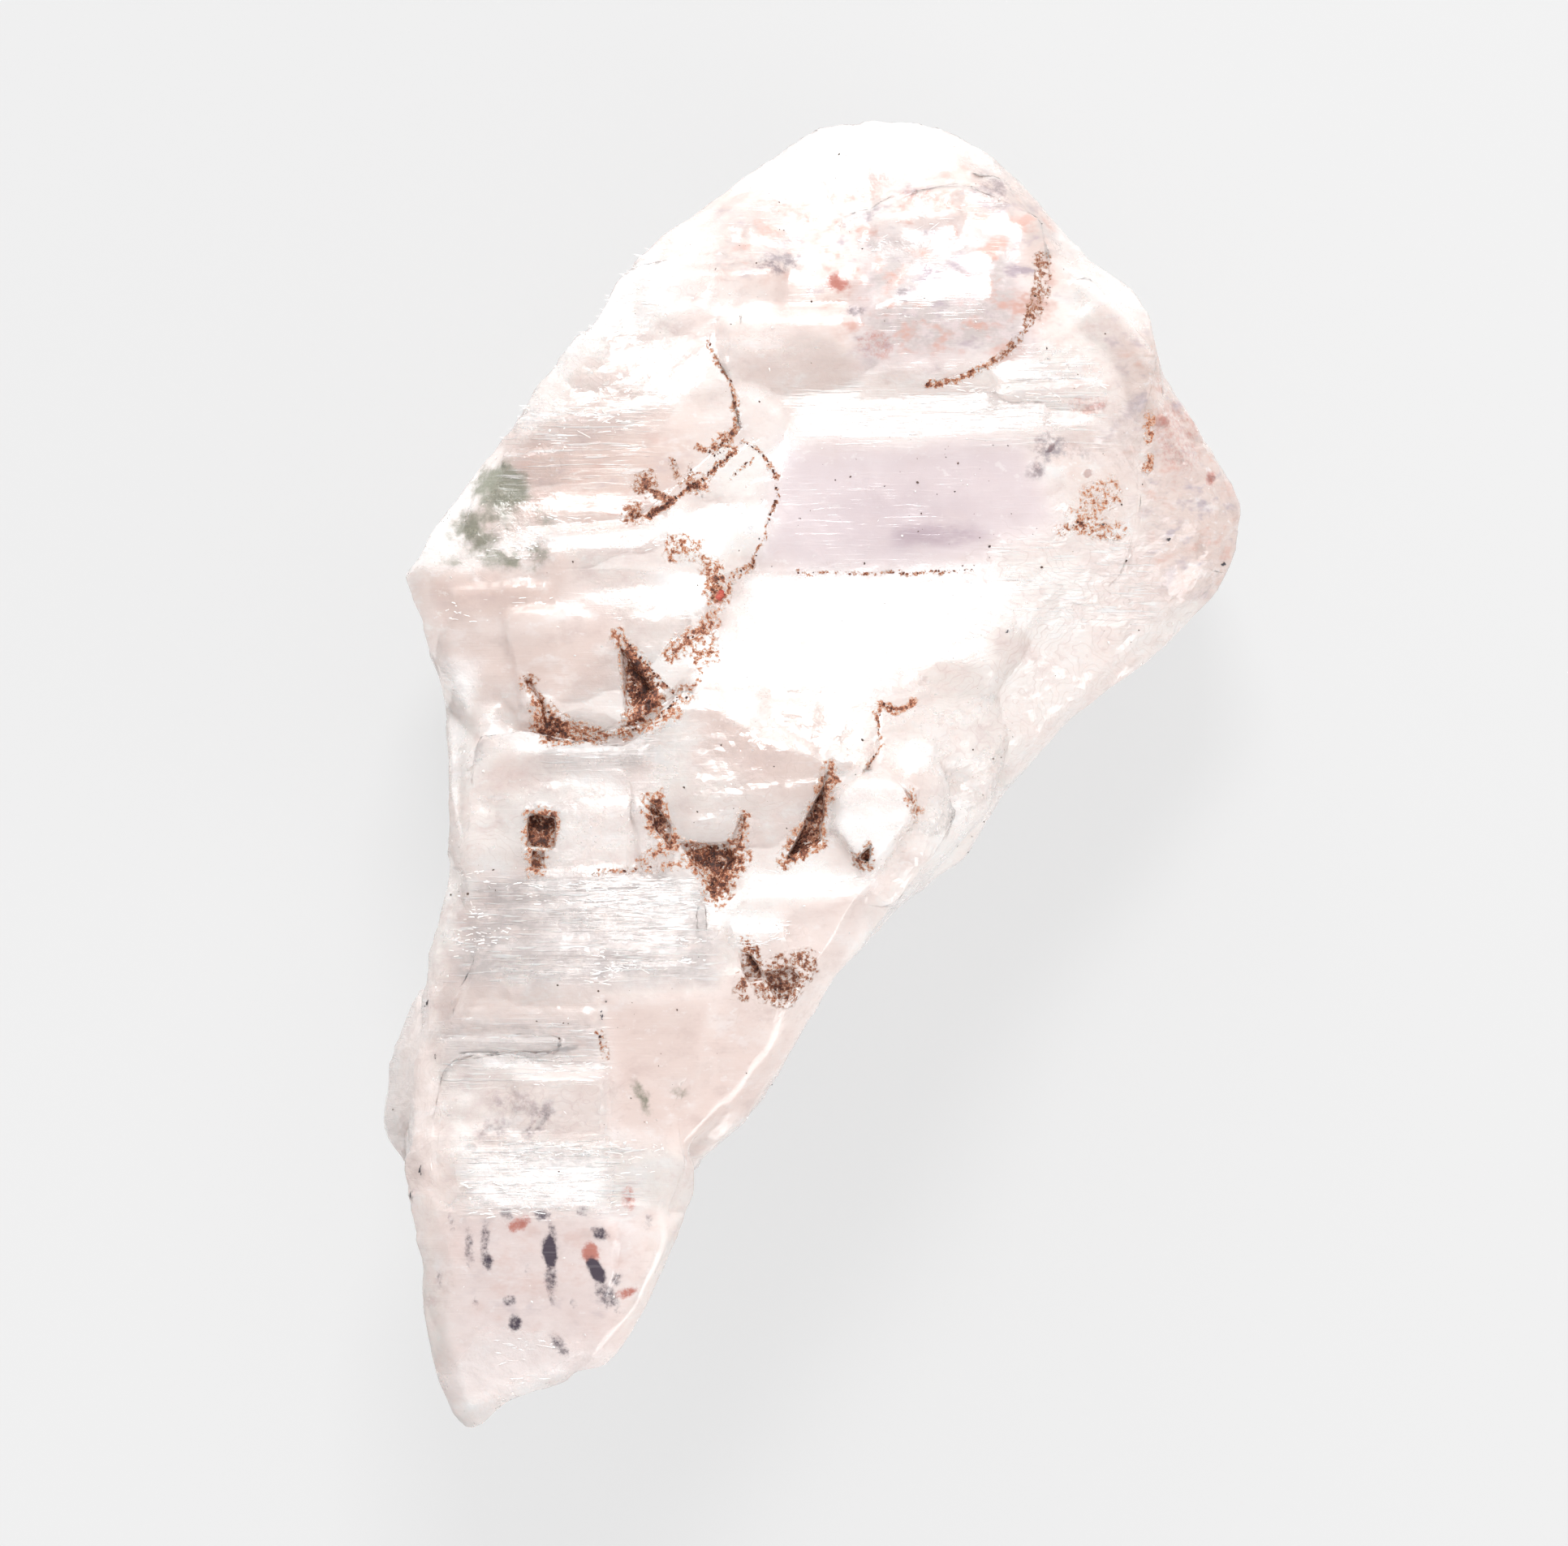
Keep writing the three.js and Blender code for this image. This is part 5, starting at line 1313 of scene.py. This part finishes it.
# Veils inside the crystal: pixel, half width, half height, turn in degrees, and depth under the face.
VEILS = [
    (800, 400, 2.6, 1.8, 40, 1.0), (1060, 240, 3.2, 1.6, -10, 1.2), (900, 330, 2.4, 1.3, 20, 1.6),
    (740, 520, 2.4, 1.4, 30, 1.3), (980, 440, 2.2, 1.0, 0, 1.8), (1040, 780, 4.4, 1.9, -6, 1.2),
    (700, 780, 3.2, 1.9, 0, 1.4), (620, 960, 1.6, 3.0, 0, 1.2), (740, 1000, 2.4, 2.6, 10, 1.2),
    (900, 940, 3.2, 2.2, -20, 1.2), (1120, 930, 2.8, 2.2, 30, 1.4), (700, 660, 3.0, 0.9, 5, 1.6),
    (1180, 600, 2.6, 1.2, 0, 2.8), (700, 1130, 2.8, 1.4, 0, 1.8), (650, 1560, 2.0, 2.0, 0, 2.6),
    (640, 1660, 1.6, 0.6, -10, 1.0),
]
# A veil's rings and spokes, its thickness and least thickness, how thick the crystal has to be around it,
# and how far it stays above the back.
VEIL_RINGS = 9
VEIL_SPOKES = 40
VEIL_WALL = 0.06
VEIL_GAP = 0.004
VEIL_ROOM = 1.6
VEIL_FLOOR = 0.5
VEIL_COLOURS = [(0.3, (0.97, 0.88, 0.84)), (0.65, (0.99, 0.97, 0.96))]


def veil_disc():
    """A flat disc of rings: places of radius 1 and its triangles."""
    spokes = np.arange(VEIL_SPOKES)
    after = (spokes + 1) % VEIL_SPOKES
    angles = spokes * 2 * math.pi / VEIL_SPOKES
    points = [np.zeros((1, 2))]
    faces = [np.stack([0 * spokes, 1 + spokes, 1 + after], 1)]
    for ring in range(VEIL_RINGS):
        radius = (ring + 1) / VEIL_RINGS
        points.append(radius * np.stack([np.cos(angles), np.sin(angles)], 1))
    for ring in range(VEIL_RINGS - 1):
        inner, beside = (1 + ring * VEIL_SPOKES + i for i in (spokes, after))
        outer, outer_beside = inner + VEIL_SPOKES, beside + VEIL_SPOKES
        pairs = np.stack([inner, outer, outer_beside, inner, outer_beside, beside], 1)
        faces.append(pairs.reshape(-1, 3))
    return np.concatenate(points), np.concatenate(faces)


def veil_point(surface, middle, spot, depth):
    """A point of a veil under the front, drawn in towards the veil's middle where the crystal is thin."""
    x, y = spot
    found, low = surface.top(x, y), surface.bottom(x, y)
    pull = 0.0
    while found is None or low is None or found - low < VEIL_ROOM:
        pull += 0.1
        x, y = (m + (s - m) * (1 - pull) for m, s in zip(middle, spot))
        found, low = surface.top(x, y), surface.bottom(x, y)
        if pull >= 1:
            break
    if found is None or low is None:
        return (*middle, FOCUS_HEIGHT)
    return x, y, max(found - depth, low + VEIL_FLOOR)


def make_veils(surface):
    """Cloudy sheets inside the crystal, each a thin closed lens that follows the front face."""
    rng = np.random.default_rng(14)
    disc, disc_faces = veil_disc()
    wall = VEIL_WALL * np.sqrt(np.clip(1 - np.linalg.norm(disc, axis=1) ** 2, 0, 1)) + VEIL_GAP
    count = len(disc)
    rim = count - VEIL_SPOKES + np.arange(VEIL_SPOKES)
    beside = np.roll(rim, -1)
    edge = [np.stack([rim, rim + count, beside + count], 1), np.stack([rim, beside + count, beside], 1)]
    faces = np.concatenate([disc_faces, disc_faces[:, ::-1] + count, *edge])
    parts = []
    for column, row, wide, high, turn, depth in VEILS:
        x, y = px(column, row)
        angle = math.radians(turn)
        seeded = np.column_stack([disc * 1.2, np.zeros(count)]) + rng.random(3) * 40
        uneven = disc * (1 + 0.35 * layered(seeded, 0.6, 660, 3))[:, None] * np.array([wide, high])
        flat = np.stack([
            x + uneven[:, 0] * math.cos(angle) - uneven[:, 1] * math.sin(angle),
            y + uneven[:, 0] * math.sin(angle) + uneven[:, 1] * math.cos(angle),
        ], 1)
        sheet = np.array([veil_point(surface, (x, y), spot, depth) for spot in flat])
        sheet[:, 2] += 0.25 * layered(sheet, 1.0, 670, 3)
        under = sheet - np.array([0, 0, 1]) * wall[:, None]
        parts.append((np.concatenate([sheet, under]), faces))
    n = Nodes("veil_quartz")
    n.set("Base Color", n.colours(n.noise(0.7, detail=5.0, rough=0.7), VEIL_COLOURS))
    n.set("Roughness", n.ramp(n.noise(0.3), -1.0, 1.4))
    n.set("IOR", QUARTZ_IOR)
    n.set("Transmission Weight", 0.35)
    small_piece("inner_veils", joined(parts), n.material, smooth=True)


# Strewn chips of quartz: areas and how thickly they lie.
CHIP_AREAS = drawn([
    (1.0, 900, 1124, 970, 1130, 966, 1164, 902, 1156), (1.0, 576, 1066, 612, 1062, 612, 1100, 572, 1110),
    (0.7, 640, 506, 764, 500, 764, 540, 630, 548), (0.7, 615, 545, 700, 540, 690, 584, 610, 590),
    (0.5, 690, 396, 746, 392, 742, 444, 690, 444), (0.5, 540, 672, 690, 660, 680, 700, 520, 712),
    (0.5, 1200, 480, 1362, 480, 1358, 528, 1200, 534), (0.9, 1255, 425, 1345, 425, 1340, 472, 1255, 474),
    (0.5, 765, 1364, 820, 1364, 818, 1436, 766, 1436), (0.3, 540, 1150, 566, 1150, 560, 1440, 530, 1440),
    (0.6, 930, 1180, 996, 1176, 1000, 1200, 960, 1250), (0.6, 1300, 575, 1400, 575, 1400, 660, 1300, 658),
])


def make_chips(surface):
    """Small bright chips of quartz on the broken places."""
    rng = np.random.default_rng(15)
    weight = areas(warped(surface.middles, 0.6, 0.15, 700), CHIP_AREAS, 0.15) * front_share(surface.normals)
    weight += 0.06 * ramp(surface.normals[:, 2], 0.1, 0.4)
    weight *= ramp(layered(surface.middles, 0.5, 710, 2), -0.3, 0.3)
    places, _ = surface.scatter(CHIPS, weight, rng)
    sizes = 0.015 + 0.06 * rng.random(len(places)) ** 3
    n = Nodes("chip_quartz")
    n.set("Base Color", n.colours(n.noise(0.3), [(0.3, (0.93, 0.86, 0.83)), (0.6, CHALK_AND_HIGHLIGHT)]))
    n.set("Roughness", n.ramp(n.noise(0.2), 0.2, 2.2))
    n.set("IOR", QUARTZ_IOR)
    n.set("Transmission Weight", 0.4)
    small_piece("quartz_chips", grains(places, sizes, 0.3, rng, 0), n.material)
    make_slivers(surface, n.material)


# The way the slivers face, so that they catch the light of the upper lights.
GLINT_NORMAL = (0.0, 0.34, 0.94)
SLIVER_AREAS = drawn([
    (1.0, 600, 1085, 868, 1075, 882, 1110, 700, 1130, 560, 1180),
    (1.0, 740, 1160, 868, 1155, 868, 1208, 730, 1208), (0.8, 921, 1072, 1084, 1072, 1068, 1104, 929, 1104),
    (1.0, *box(579, 1407, 770, 1490)), (0.7, 637, 1304, 748, 1306, 748, 1330, 637, 1330),
    (0.9, 1180, 480, 1362, 480, 1358, 528, 1200, 534), (1.0, 1229, 470, 1360, 465, 1360, 482, 1229, 486),
    (0.4, 1000, 505, 1300, 500, 1300, 535, 1000, 540), (0.6, 690, 320, 830, 310, 800, 400, 690, 440),
    (0.9, 620, 500, 780, 490, 780, 530, 620, 550), (0.7, 660, 640, 830, 640, 830, 672, 560, 700),
    (0.4, 560, 740, 700, 740, 690, 770, 560, 780), (1.0, 840, 640, 950, 630, 950, 655, 840, 665),
    (0.4, 1060, 250, 1200, 245, 1200, 320, 1060, 320), (0.9, 890, 1120, 970, 1125, 966, 1165, 890, 1160),
    (0.8, 575, 1062, 615, 1060, 615, 1100, 570, 1110), (0.5, *box(770, 1360, 820, 1440)),
    (0.6, 620, 1640, 690, 1640, 670, 1690, 610, 1690),
])


def make_slivers(surface, material):
    """Short flat growth steps that catch the light, lying across the crystal."""
    rng = np.random.default_rng(16)
    weight = areas(warped(surface.middles, 0.8, 0.15, 720), SLIVER_AREAS, 0.15)
    weight *= front_share(surface.normals)
    weight *= ramp(layered(surface.middles, (1.6, 0.2, 1.6), 730, 2), -0.1, 0.4)
    places, _ = surface.scatter(SLIVERS, weight, rng)
    unit, faces = ball(1)
    parts = []
    for place in places:
        half = np.array([0.04 + 0.24 * rng.random() ** 2, 0.009 + 0.012 * rng.random(), 0.007])
        up = np.array(GLINT_NORMAL) + 0.07 * rng.normal(size=3)
        up /= np.linalg.norm(up)
        along_it = np.cross(up, (0, 0, 1.0)) + 0.03 * rng.normal(size=3) * np.array([0, 1, 1])
        along_it -= up * (along_it @ up)
        along_it /= np.linalg.norm(along_it)
        axes = np.array([along_it, np.cross(up, along_it), up])
        body = np.sign(unit) * np.abs(unit) ** 0.7 * half
        parts.append((body @ axes + place, faces))
    small_piece("quartz_slivers", joined(parts), material)


surface = Surface(crystal)
make_chips(surface)
make_crust(surface)
make_specks(surface)
make_inclusions(surface)
make_veils(surface)
